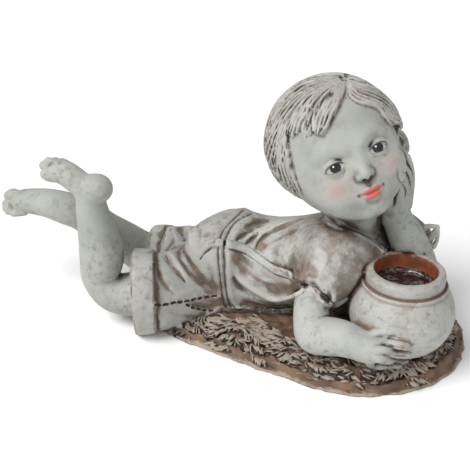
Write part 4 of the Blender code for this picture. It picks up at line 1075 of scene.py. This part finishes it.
print("thinned", len(me.vertices), sum(len(p.vertices) - 2 for p in me.polygons), round(time.time() - T0, 1))

# keep the one outer body
bm = bmesh.new()
bm.from_mesh(me)
bm.verts.ensure_lookup_table()
mark = np.zeros(len(bm.verts), np.int32)
cur, sizes = 0, {}
for v in bm.verts:
    if mark[v.index]:
        continue
    cur += 1
    stack = [v]
    mark[v.index] = cur
    cnt = 0
    while stack:
        w = stack.pop()
        cnt += 1
        for e in w.link_edges:
            x = e.other_vert(w)
            if not mark[x.index]:
                mark[x.index] = cur
                stack.append(x)
    sizes[cur] = cnt
keep = max(sizes, key=sizes.get)
bmesh.ops.delete(bm, geom=[v for v in bm.verts if mark[v.index] != keep], context='VERTS')
bmesh.ops.triangulate(bm, faces=bm.faces[:])
# two triangles on the same three points are a pinched fold with nothing between them: both go
bm.verts.index_update()
twins = {}
for face in bm.faces:
    twins.setdefault(tuple(sorted(v.index for v in face.verts)), []).append(face)
gone = [face for same in twins.values() if len(same) > 1 for face in same[len(same) % 2:]]
bmesh.ops.delete(bm, geom=gone, context='FACES')
bmesh.ops.delete(bm, geom=[e for e in bm.edges if not e.link_faces], context='EDGES')
bmesh.ops.delete(bm, geom=[v for v in bm.verts if not v.link_faces], context='VERTS')
print("twins", len(gone), "open", sum(1 for e in bm.edges if len(e.link_faces) == 1))
edge_holes = [e for e in bm.edges if len(e.link_faces) == 1]
if edge_holes:
    filled = bmesh.ops.holes_fill(bm, edges=edge_holes, sides=8)["faces"]
    bmesh.ops.triangulate(bm, faces=filled)
    print("filled", len(filled), "open", sum(1 for e in bm.edges if len(e.link_faces) == 1))
bmesh.ops.recalc_face_normals(bm, faces=bm.faces[:])
bm.to_mesh(me)
bm.free()
before = len(me.polygons)
me.validate()
print("faces", before, "after validate", len(me.polygons))
me.polygons.foreach_set("use_smooth", np.ones(len(me.polygons), bool))
me.update()

# ------------------------------------------------------------------ masks for the paint
co = np.zeros(len(me.vertices) * 3, F)
me.vertices.foreach_get("co", co)
W = co.reshape(-1, 3).astype(float) / UNIT + SHIFT
nr = np.zeros(len(me.vertices) * 3, F)
me.vertices.foreach_get("normal", nr)
Nv = nr.reshape(-1, 3).astype(float)
# openness along the normal: the hollow masks darken recesses in the paint below, as brown wash and painted shade
def open_share(t):
    return np.clip(f.sample(W + Nv * t) / t, 0, 1)
hollow_fine = 1 - 0.5 * open_share(0.9) - 0.5 * open_share(1.8)
hollow_mid = 1 - open_share(3.5)
hollow_wide = 1 - 0.5 * open_share(6.5) - 0.5 * open_share(10.0)
ridge = np.clip(1 + f.sample(W - Nv * 1.4) / 1.4, 0, 1) * 0.5 + np.clip(1 + f.sample(W - Nv * 3.0) / 3.0, 0, 1) * 0.5
Hl = (W - HEAD_MID) @ HEAD
def blob(x, y, rx, ry, front=20):
    return np.exp(-(((Hl[:, 0] - x) / rx) ** 2 + ((Hl[:, 1] - y) / ry) ** 2)) * (Hl[:, 2] > front)
blush = blob(-27, -27, 9, 8) + blob(27, -27, 9, 8)

# hand-wiped brown stains and painted shade: across, down, radius, strength; the brown left on the cloth, and darker
# patches painted where shade falls: the neck under the chin, under and beside the sleeves, by the ear and the wrist,
# between the toes
STAINS_AND_SHADE = ((236, 261, 8, .8), (243, 268, 8, .7), (240, 286, 6, .9), (256, 282, 6, .5), (272, 287, 9, .45), (287, 290, 9, .45), (249, 303, 7, 1.0), (258, 309, 8, 1.0),
          (270, 306, 8, .8), (284, 305, 8, .8), (294, 304, 5, .8), (243, 236, 6, 1.0), (250, 240, 5, .9), (259, 243, 6, 1.0), (265, 235, 6, .9), (276, 230, 6, .9),
          (286, 226, 6, .8), (293, 232, 3, .6), (303, 272, 6, .6), (318, 279, 5, .5), (258, 224, 9, .7), (248, 229, 6, .7), (181, 230, 7, 1.0), (186, 240, 6, .7),
          (160, 235, 5, .8), (200, 305, 7, .9), (212, 304, 7, .9), (196, 318, 6, .5), (210, 315, 8, .7), (222, 310, 6, .9), (172, 322, 6, .5), (190, 317, 8, .4),
          (157, 310, 5, .8), (333, 232, 6, .7), (338, 240, 5, .3), (376, 228, 10, 1.2), (383, 241, 9, 1.4), (378, 216, 6, 1.0), (336, 309, 9, 1.4), (326, 308, 5, 1.0),
          (322, 298, 4, .8), (330, 298, 4, .7), (151, 252, 5, .7), (149, 280, 5, .5), (152, 300, 5, .6), (205, 235, 5, .5), (213, 233, 4, .5), (168, 262, 4, .8),
          (178, 274, 4, .8), (160, 275, 4, .6), (165, 286, 4, .6), (431, 233, 5, 1.2), (434, 240, 4, 1.2), (345, 312, 8, 1.2), (350, 300, 8, .9),
          (11, 206, 6, .9), (5, 214, 5, .9), (20, 214, 5, .6), (50, 164, 5, .9), (45, 176, 4, .8), (60, 163, 4, .8), (68, 170, 4, .5), (98, 196, 6, .4), (70, 206, 6, .6), (76, 214, 5, .5),
          (146, 232, 7, .5), (140, 246, 7, .6), (120, 300, 8, .3), (113, 205, 5, .5), (36, 213, 7, .3), (400, 147, 4, 1.3), (403, 141, 3, 1.0), (392, 206, 5, .8), (388, 214, 6, .9),
          (404, 196, 4, .6), (330, 214, 5, .5), (345, 226, 6, .5))
stain_and_shade = np.zeros(len(W))
for u, v, r, s in STAINS_AND_SHADE:
    p = f.lay(((u, v), (u + 0.5, v)), 1)
    if len(p):
        stain_and_shade = np.maximum(stain_and_shade, s * np.exp(-((W - p[0]) ** 2).sum(1) / (r * 0.95) ** 2))
dash = np.exp(-(near_lines(W, DASHES, 4.0) / 0.85) ** 2)
# fold masks: fold_lo browns the fold hollows and marks their dark centre lines (brown wash and painted shade); the
# crest mask is a painted highlight on fold ridges
fold_lo, fold_ridge_highlight, line_m = np.zeros(len(W)), np.zeros(len(W)), np.zeros(len(W))
for path, amp, width in FOLD_LINES:
    p = f.lay(path, 4)
    if len(p) > 2:
        d = near_lines(W, [p], 12.0)
        if amp < 0:
            fold_lo = np.maximum(fold_lo, min(1.0, -amp / 2.6) * np.exp(-(d / (width * 0.85)) ** 2))
            line_m = np.maximum(line_m, min(1.0, -amp / 3.2) * np.exp(-(d / 0.9) ** 2))
        else:
            fold_ridge_highlight = np.maximum(fold_ridge_highlight, min(1.0, amp / 2.0) * np.exp(-(d / (width * 0.7)) ** 2))
# dark lines: brown in the grooves and seams, and painted shade where parts meet (collar over the neck, between the
# fingers, the shorts on the mound)
DARK_LINES = ((WAIST_A, 1.0, 0.9), (WAIST_B, 1.0, 1.15), ([(u + 0.4, v + 5.3) for u, v in STRAP[4:]], 0.9, 0.75), ([(u, v - 5.1) for u, v in STRAP[5:]], 0.7, 0.7),
              (((155, 251), (155, 275), (155.5, 300), (157.5, 328)), 1.0, 1.2), (NECK_EDGE, 0.9, 0.9), (((301.8, 264.5), (302.6, 270.5)), 1.0, 1.1),
              (((378, 336.2), (388, 336.0), (396, 337.4)), 0.8, 0.8), (((384, 346.0), (395, 347.1), (408, 348.8)), 1.0, 0.85), (((383, 354.9), (395, 355.7), (407, 356.7)), 1.0, 0.85),
              (((382, 362.7), (391, 363.3), (401, 364.0)), 0.9, 0.8), (((163, 332), (195, 324), (214, 319), (232, 315), (250, 319)), 1.0, 1.6),
              (((200.2, 259.4), (204, 254), (211, 248.6)), 1.0, 1.2), (((214, 242.5), (215.5, 239.5)), 0.9, 0.8), (((398.6, 169), (398.2, 178), (403.6, 186), (405.6, 192), (404, 199)), 0.9, 1.0),
              (((403, 169.5), (407, 178), (409.4, 185), (409.4, 192)), 0.8, 0.8), (((176, 219), (172, 228), (165, 236), (163, 246)), 0.9, 1.1))
for path, s, width in DARK_LINES:
    p = f.lay(path, 5)
    if len(p) > 2:
        line_m = np.maximum(line_m, s * np.exp(-(near_lines(W, [p], 8.0) / width) ** 2))
tips = np.zeros(len(W))
for r in NEAR_FINGERS[:3]:
    p = f.lay(((r[-1][0] - 2.5, r[-1][1] + 2), (r[-1][0] - 2, r[-1][1] + 2)), 1)
    if len(p):
        tips = np.maximum(tips, np.exp(-((W - p[0]) ** 2).sum(1) / 3.4 ** 2))
masks = {
    "hollow_fine": hollow_fine, "hollow_mid": hollow_mid, "hollow_wide": hollow_wide, "ridge": ridge,
    "is_hair": f.label(W - Nv * 0.4, (HAIR,)), "is_cloth": f.label(W - Nv * 0.4, (CLOTH,)), "is_mound": f.label(W - Nv * 0.4, (MOUND,)),
    "is_pot": f.label(W - Nv * 0.4, (POT,)), "is_inside": f.label(W - Nv * 0.2, (POTIN,)), "blush": blush, "stain_and_shade": stain_and_shade, "dash": dash, "tips": tips, "fold_lo": fold_lo, "fold_ridge_highlight": fold_ridge_highlight, "line_m": line_m,
}
for name, val in masks.items():
    a = me.attributes.new(name, 'FLOAT', 'POINT')
    a.data.foreach_set("value", np.asarray(val, F))
print("masks", {k: [round(float(q), 2) for q in np.percentile(v, (5, 50, 80, 95))] for k, v in masks.items()}, round(time.time() - T0, 1))

# ------------------------------------------------------------------ paint
def srgb(r, g, b):
    return tuple((c / 12.92 if c <= 0.04045 else ((c + 0.055) / 1.055) ** 2.4) for c in (r / 255, g / 255, b / 255)) + (1.0,)

class Nodes:
    """short names for the shader nodes used here"""
    def __init__(self, mat):
        self.t = mat.node_tree
        self.n = self.t.nodes
        self.obj = self.n.new("ShaderNodeTexCoord").outputs["Object"]
    def link(self, a, sock):
        if hasattr(a, "links"):
            self.t.links.new(a, sock)
        else:
            sock.default_value = a
    def math(self, op, a, b=0.0, c=0.0, clamp=False):
        m = self.n.new("ShaderNodeMath")
        m.operation, m.use_clamp = op, clamp
        self.link(a, m.inputs[0])
        self.link(b, m.inputs[1])
        self.link(c, m.inputs[2])
        return m.outputs[0]
    def mul(self, a, b, clamp=False): return self.math('MULTIPLY', a, b, clamp=clamp)
    def add(self, a, b, clamp=False): return self.math('ADD', a, b, clamp=clamp)
    def sub(self, a, b, clamp=False): return self.math('SUBTRACT', a, b, clamp=clamp)
    def ramp(self, a, lo, hi, out0=0.0, out1=1.0, smooth=True):
        m = self.n.new("ShaderNodeMapRange")
        m.interpolation_type = 'SMOOTHSTEP' if smooth else 'LINEAR'
        m.clamp = True
        self.link(a, m.inputs["Value"])
        m.inputs["From Min"].default_value, m.inputs["From Max"].default_value = lo, hi
        m.inputs["To Min"].default_value, m.inputs["To Max"].default_value = out0, out1
        return m.outputs[0]
    def mix(self, f, a, b, mode='MIX'):
        m = self.n.new("ShaderNodeMix")
        m.data_type, m.blend_type, m.clamp_factor = 'RGBA', mode, True
        self.link(f, m.inputs[0])
        self.link(a, m.inputs[6])
        self.link(b, m.inputs[7])
        return m.outputs[2]
    def attr(self, name):
        a = self.n.new("ShaderNodeAttribute")
        a.attribute_name = name
        return a.outputs["Fac"]
    def noise(self, scale, detail=4.0, rough=0.55, vec=None, distort=0.0):
        m = self.n.new("ShaderNodeTexNoise")
        m.inputs["Scale"].default_value, m.inputs["Detail"].default_value = scale, detail
        m.inputs["Roughness"].default_value, m.inputs["Distortion"].default_value = rough, distort
        self.t.links.new(vec or self.obj, m.inputs["Vector"])
        return m.outputs["Fac"]
    def stretch(self, sx, sy, sz, rot=(0, 0, 0)):
        m = self.n.new("ShaderNodeMapping")
        self.t.links.new(self.obj, m.inputs["Vector"])
        m.inputs["Scale"].default_value = (sx, sy, sz)
        m.inputs["Rotation"].default_value = rot
        return m.outputs["Vector"]
    def dot(self, axis, origin):
        """metres along an axis from an origin"""
        v = self.n.new("ShaderNodeVectorMath")
        v.operation = 'DOT_PRODUCT'
        self.t.links.new(self.obj, v.inputs[0])
        v.inputs[1].default_value = tuple(axis)
        return self.sub(v.outputs["Value"], float(np.dot(axis, origin)))

mat = bpy.data.materials.new("whitewash")
mat.use_nodes = True
N = Nodes(mat)
bsdf = mat.node_tree.nodes["Principled BSDF"]
fine, mid, wide, rdg = N.attr("hollow_fine"), N.attr("hollow_mid"), N.attr("hollow_wide"), N.attr("ridge")
hair, cloth, mound, pot, inside = N.attr("is_hair"), N.attr("is_cloth"), N.attr("is_mound"), N.attr("is_pot"), N.attr("is_inside")
skin = N.sub(1.0, N.add(N.add(hair, cloth), N.add(mound, N.add(pot, inside))), clamp=True)
stain_shade_m, dash_m, tips_m = N.attr("stain_and_shade"), N.attr("dash"), N.attr("tips")
fold_lo, fold_ridge_highlight, line_m = N.attr("fold_lo"), N.attr("fold_ridge_highlight"), N.attr("line_m")

big, medium, small, speck = N.noise(14, 5, 0.6), N.noise(52, 5, 0.6), N.noise(150, 5, 0.65), N.noise(430, 3, 0.6)
# limewash: cool greyish white, warmer and cooler clouds, thin grey smudges
white = N.mix(N.ramp(big, 0.38, 0.62), srgb(158, 158, 152), srgb(172, 173, 168))
white = N.mix(N.mul(N.ramp(medium, 0.50, 0.68), 0.60), white, srgb(146, 139, 140))
white = N.mix(N.mul(N.ramp(small, 0.52, 0.70), 0.50), white, srgb(122, 114, 106))
white = N.mix(N.mul(N.ramp(N.noise(95, 5, 0.6), 0.55, 0.72), 0.45), white, srgb(186, 187, 183))
smooth_white = N.mix(N.ramp(big, 0.38, 0.62), srgb(153, 156, 150), srgb(168, 170, 164))
smooth_white = N.mix(N.mul(N.ramp(medium, 0.54, 0.74), 0.40), smooth_white, srgb(146, 142, 146))
smooth_white = N.mix(N.mul(N.ramp(small, 0.60, 0.78), 0.30), smooth_white, srgb(118, 114, 108))
HM = (HEAD_MID - SHIFT) * UNIT
on_face = N.mul(N.ramp(N.dot(FWD, HM), 14 * UNIT, 32 * UNIT), N.ramp(N.dot(HUP, HM), -80 * UNIT, -62 * UNIT))
patina = N.mul(N.ramp(N.noise(210, 6, 0.72), 0.50, 0.64), N.ramp(N.noise(24, 4, 0.6), 0.40, 0.62))
patina = N.mul(patina, N.sub(1.0, N.mul(on_face, 0.8)))
white = N.mix(N.mul(patina, 0.55), white, srgb(116, 108, 100))
smooth_white = N.mix(N.mul(patina, 0.60), smooth_white, srgb(112, 110, 104))
smooth_white = N.mix(N.mul(N.ramp(N.noise(70, 6, 0.7), 0.52, 0.68), 0.40), smooth_white, srgb(128, 124, 122))
base = N.mix(skin, white, smooth_white)
# brown wash left in the hollows, broken up by noise; the deepest hollows go near black as painted shade
lo_noise = N.sub(N.noise(88, 5, 0.68), 0.5)
crev = N.add(N.mul(fine, 1.5), N.mul(mid, 1.0))
brown = N.mix(N.ramp(medium, 0.42, 0.60), srgb(88, 73, 58), srgb(118, 101, 84))
dark = srgb(42, 33, 28)
cw = N.add(crev, N.add(N.mul(stain_shade_m, 0.45), N.mul(lo_noise, 0.9)))
cw = N.add(cw, N.sub(N.mul(fold_lo, 0.42), N.mul(fold_ridge_highlight, 0.30)))
cloth_col = N.mix(N.mul(N.ramp(cw, 0.08, 0.50), 0.90), base, brown)
cloth_col = N.mix(N.ramp(N.add(crev, N.mul(lo_noise, 0.2)), 0.42, 0.95), cloth_col, dark)
lightc = N.ramp(N.add(rdg, N.mul(lo_noise, 0.6)), 0.16, 0.40)
cloth_col = N.mix(N.mul(lightc, 0.55), cloth_col, srgb(188, 186, 178))
# fold crests lightened: painted highlight
cloth_col = N.mix(N.mul(fold_ridge_highlight, 0.45), cloth_col, srgb(190, 189, 182))
line_c = N.ramp(N.add(line_m, N.mul(lo_noise, 0.5)), 0.35, 0.85)
cloth_col = N.mix(N.mul(line_c, 0.85), cloth_col, srgb(46, 35, 28))
# skin takes much less wash: brown wash and painted shade in its hollows and stain patches
skin_col = N.mix(N.mul(N.ramp(N.add(crev, N.mul(lo_noise, 0.25)), 0.22, 0.95), 0.75), base, srgb(108, 98, 90))
skin_col = N.mix(N.ramp(N.add(crev, N.mul(stain_shade_m, 0.55)), 0.72, 1.25), skin_col, dark)
# broad recesses greyed: painted shade
skin_col = N.mix(N.mul(N.ramp(wide, 0.35, 0.85), 0.35), skin_col, srgb(96, 90, 82))
skin_col = N.mix(N.mul(N.ramp(N.add(stain_shade_m, N.mul(lo_noise, 1.1)), 0.25, 0.95), 0.7), skin_col, srgb(104, 88, 74))
skin_col = N.mix(N.mul(N.ramp(N.noise(38, 6, 0.72), 0.54, 0.66), 0.35), skin_col, srgb(126, 120, 112))
skin_col = N.mix(N.mul(line_c, 0.85), skin_col, srgb(40, 31, 26))
skin_col = N.mix(N.mul(tips_m, 0.6), skin_col, srgb(120, 88, 68))
# hair: pale ridges over brown-grey furrows, the deepest furrows near black as painted shade
hc = N.add(N.add(N.mul(fine, 1.6), N.mul(mid, 0.8)), N.mul(lo_noise, 0.35))
hair_base = N.mix(N.ramp(hc, 0.05, 0.42), srgb(163, 162, 156), srgb(88, 74, 63))
hair_base = N.mix(N.ramp(hc, 0.34, 0.85), hair_base, srgb(36, 29, 26))
hair_col = N.mix(N.mul(N.ramp(N.noise(32, 4, 0.6), 0.50, 0.66), 0.45), hair_base, srgb(118, 92, 76))
hair_col = N.mix(N.mul(N.ramp(N.add(rdg, N.mul(lo_noise, 0.5)), 0.30, 0.60), 0.6), hair_col, srgb(184, 184, 178))
# mound: brown rock and grass, dry-brushed white
m_col = N.mix(N.ramp(N.noise(60, 5, 0.6), 0.40, 0.60), srgb(88, 66, 50), srgb(112, 88, 68))
m_col = N.mix(N.mul(N.ramp(N.noise(34, 3, 0.6), 0.55, 0.70), 0.5), m_col, srgb(122, 80, 52))
m_col = N.mix(N.mul(N.ramp(N.noise(85, 6, 0.72), 0.50, 0.62), 0.6), m_col, srgb(52, 38, 28))
# the mound's crevices go near black: brown wash and painted shade
m_col = N.mix(N.ramp(N.add(crev, N.mul(lo_noise, 0.3)), 0.30, 1.0), m_col, srgb(44, 33, 26))
strata = N.sub(N.noise(1, 5, 0.65, vec=N.stretch(42, 42, 400)), 0.5)
brush = N.add(N.add(N.mul(rdg, 0.9), N.mul(N.sub(N.noise(170, 6, 0.75), 0.5), 1.5)), N.add(N.mul(strata, 1.9), N.mul(N.sub(N.noise(36, 4, 0.6), 0.5), 0.8)))
brush = N.ramp(brush, 0.34, 0.80)
m_col = N.mix(N.mul(brush, 0.74), m_col, srgb(162, 152, 138))
# pot outside: white, with reddish lines where the paint is rubbed off, and its deepest hollows darker still as painted
# shade
pot_base = N.mix(N.mul(N.ramp(N.noise(70, 5, 0.65), 0.52, 0.68), 0.35), base, srgb(132, 118, 102))
pot_col = N.mix(N.mul(N.ramp(N.add(crev, N.mul(lo_noise, 0.4)), 0.26, 0.85), 0.75), pot_base, srgb(124, 98, 76))
pot_col = N.mix(N.mul(N.ramp(N.add(crev, N.mul(lo_noise, 0.3)), 0.9, 1.6), 0.5), pot_col, srgb(78, 60, 48))
# inside wall of the pot: terracotta, near black in its hollows as painted shade
wall = N.mix(N.ramp(N.noise(70, 4, 0.6), 0.4, 0.6), srgb(104, 50, 24), srgb(132, 66, 32))
wall = N.mix(N.ramp(N.add(crev, N.mul(lo_noise, 0.2)), 0.5, 1.1), wall, srgb(46, 26, 18))
col = N.mix(cloth, skin_col, cloth_col)
col = N.mix(hair, col, hair_col)
col = N.mix(mound, col, m_col)
col = N.mix(pot, col, pot_col)
col = N.mix(inside, col, wall)
col = N.mix(N.mul(N.ramp(dash_m, 0.25, 0.7), 0.92), col, srgb(26, 20, 18))

# pot floor: dark and glossy, with pale swirls painted on it as painted reflections
height = N.dot((0, 0, 1), (0, 0, 0))
floor_m = N.mul(N.ramp(height, (POT_FLOOR_Z + 5.5) * UNIT, (POT_FLOOR_Z + 3.8) * UNIT), N.ramp(inside, 0.3, 0.6))
swirl = N.noise(95, 4, 0.65, distort=2.2)
floor_col_and_sheen = N.mix(N.ramp(swirl, 0.46, 0.66), srgb(34, 24, 20), srgb(104, 96, 92))
col = N.mix(floor_m, col, floor_col_and_sheen)

# face paint, placed on the head's own axes
HM = (HEAD_MID - SHIFT) * UNIT
lx, ly, lz = N.dot(HX, HM), N.dot(HUP, HM), N.dot(FWD, HM)
U = UNIT
def ell(cx, cy, rx, ry, edge=0.12):
    a = N.mul(N.sub(lx, cx * U), 1 / (rx * U))
    b = N.mul(N.sub(ly, cy * U), 1 / (ry * U))
    d = N.math('SQRT', N.add(N.mul(a, a), N.mul(b, b)))
    return N.ramp(d, 1 + edge, 1 - edge)
front = N.ramp(lz, 38 * U, 42 * U)
col = N.mix(N.mul(N.attr("blush"), 0.42), col, srgb(172, 112, 106))
lips = N.math('MAXIMUM', ell(0, -38.8, 9.6, 2.5, 0.35), ell(0, -43.0, 7.6, 3.3, 0.35))
lips = N.mul(lips, N.sub(1.0, N.mul(N.ramp(fine, 0.15, 0.5), 0.55)))
col = N.mix(N.mul(N.mul(lips, front), 0.88), col, srgb(186, 78, 66))
for s in (-1, 1):
    ex, ey = s * EYE_X, EYE_Y
    uu = N.mul(N.sub(N.mul(lx, float(s)), (EYE_X + 0.6) * U), 1 / (9.1 * U))
    arch = N.math('POWER', N.math('MAXIMUM', N.sub(1.0, N.mul(uu, uu)), 0.0), 0.75)
    yy = N.mul(N.sub(ly, ey * U), 1 / U)
    top, bot = N.mul(arch, 4.4), N.mul(arch, -3.4)
    opening = N.mul(N.ramp(N.sub(top, yy), -0.1, 0.4), N.ramp(N.sub(yy, bot), -0.1, 0.4))
    opening = N.mul(opening, front)
    col = N.mix(opening, col, srgb(162, 163, 161))
    iris = N.mul(ell(ex - 0.4, ey + 0.8, 4.9, 4.9, 0.08), opening)
    col = N.mix(iris, col, srgb(28, 25, 27))
    col = N.mix(N.mul(ell(ex - 0.4, ey + 0.3, 3.3, 3.3, 0.2), opening), col, srgb(27, 23, 25))
    col = N.mix(N.mul(ell(ex - 0.4, ey + 0.8, 2.1, 2.1, 0.15), opening), col, srgb(12, 11, 12))
    # small white dot on each iris: painted highlight
    col = N.mix(N.mul(ell(ex - 1.9, ey + 2.5, 0.8, 0.8, 0.2), opening), col, srgb(215, 218, 220))
    lash = N.mul(N.ramp(N.math('ABSOLUTE', N.sub(yy, N.add(top, 0.25))), 1.15, 0.45), N.ramp(arch, 0.05, 0.3))
    col = N.mix(N.mul(N.mul(lash, front), 0.75), col, srgb(44, 38, 36))
    under = N.mul(N.ramp(N.math('ABSOLUTE', N.sub(yy, N.sub(bot, 0.2))), 0.7, 0.2), N.ramp(arch, 0.1, 0.5))
    col = N.mix(N.mul(N.mul(under, front), 0.45), col, srgb(86, 76, 72))
# small dark pits scattered over the white
vor = N.n.new("ShaderNodeTexVoronoi")
vor.inputs["Scale"].default_value = 95
N.t.links.new(N.obj, vor.inputs["Vector"])
pit = N.mul(N.ramp(vor.outputs["Distance"], 0.10, 0.05), N.ramp(N.noise(30, 3, 0.5), 0.60, 0.70))
pit = N.mul(pit, N.sub(1.0, inside, clamp=True))
col = N.mix(N.mul(pit, 0.75), col, srgb(76, 66, 58))
N.t.links.new(col, bsdf.inputs["Base Color"])

rough = N.add(N.mul(N.sub(medium, 0.5), 0.25), 0.68)
rough = N.math('MINIMUM', N.math('MAXIMUM', rough, 0.45), 0.95)
r1 = N.n.new("ShaderNodeMix")
N.link(floor_m, r1.inputs[0])
N.link(rough, r1.inputs[2])
N.link(0.12, r1.inputs[3])
N.t.links.new(r1.outputs[0], bsdf.inputs["Roughness"])
# grain: brush marks on the white, coarser on mound and cloth
h = N.add(N.mul(N.noise(240, 4, 0.6), 0.5), N.mul(N.noise(650, 3, 0.6), 0.25))
h = N.add(h, N.mul(pit, -0.6))
h = N.add(h, N.mul(N.mul(N.noise(1, 4, 0.6, vec=N.stretch(260, 260, 900)), N.add(mound, N.mul(cloth, 0.3))), 0.5))
h = N.add(h, N.mul(N.mul(swirl, floor_m), 1.6))
bump = N.n.new("ShaderNodeBump")
bump.inputs["Strength"].default_value = 0.45
bump.inputs["Distance"].default_value = 0.0006
N.t.links.new(h, bump.inputs["Height"])
N.t.links.new(bump.outputs["Normal"], bsdf.inputs["Normal"])
me.materials.clear()
me.materials.append(mat)

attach(statue, "root")
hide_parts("statue")

# ------------------------------------------------------------------ floor, light and camera
def plain(name, colour, rough=0.9):
    m = bpy.data.materials.new(name)
    m.use_nodes = True
    b = m.node_tree.nodes["Principled BSDF"]
    b.inputs["Base Color"].default_value = colour
    b.inputs["Roughness"].default_value = rough
    return m
bm = bmesh.new()
bmesh.ops.create_grid(bm, x_segments=1, y_segments=1, size=4.0)
fm = bpy.data.meshes.new("floor")
bm.to_mesh(fm)
bm.free()
floor = bpy.data.objects.new("floor", fm)
floor.location = (0, 0, -0.0003)
fm.materials.append(plain("pale_floor", (0.93, 0.93, 0.93, 1)))
bpy.context.scene.collection.objects.link(floor)

def area(name, place, aim, size, power, colour=(1, 1, 1)):
    l = bpy.data.lights.new(name, 'AREA')
    l.shape, l.size, l.energy, l.color = 'SQUARE', size, power, colour
    o = bpy.data.objects.new(name, l)
    o.location = place
    o.rotation_mode = 'QUATERNION'
    o.rotation_quaternion = (Vector(aim) - Vector(place)).to_track_quat('-Z', 'Y')
    bpy.context.scene.collection.objects.link(o)
    return o
def sun(name, place, power, spread):
    l = bpy.data.lights.new(name, 'SUN')
    l.energy, l.angle = power, math.radians(spread)
    o = bpy.data.objects.new(name, l)
    o.rotation_mode = 'QUATERNION'
    o.rotation_quaternion = (-Vector(place)).to_track_quat('-Z', 'Y')
    bpy.context.scene.collection.objects.link(o)
    return o
sun("key", (-0.45, -0.75, 1.0), 3.0, 34)
area("fill", (1.2, -1.2, 0.8), (0.02, 0, 0.1), 0.9, 5)
world = bpy.data.worlds.new("soft")
world.use_nodes = True
world.node_tree.nodes["Background"].inputs["Color"].default_value = (1, 1, 1, 1)
world.node_tree.nodes["Background"].inputs["Strength"].default_value = 0.42
bpy.context.scene.world = world
bpy.context.scene.view_settings.view_transform = 'Standard'

cam = bpy.data.cameras.new("view")
cam.lens, cam.sensor_width = 60.0, 36.0
cam.clip_start, cam.clip_end = 0.01, 20
cob = bpy.data.objects.new("view", cam)
M = Matrix((Vector(RIGHT), Vector(UP), Vector(BACK))).transposed().to_4x4()
M.translation = Vector((EYE - SHIFT) * UNIT)
cob.matrix_world = M
bpy.context.scene.collection.objects.link(cob)
bpy.context.scene.camera = cob
bpy.context.view_layer.update()

print("done", round(time.time() - T0, 1))
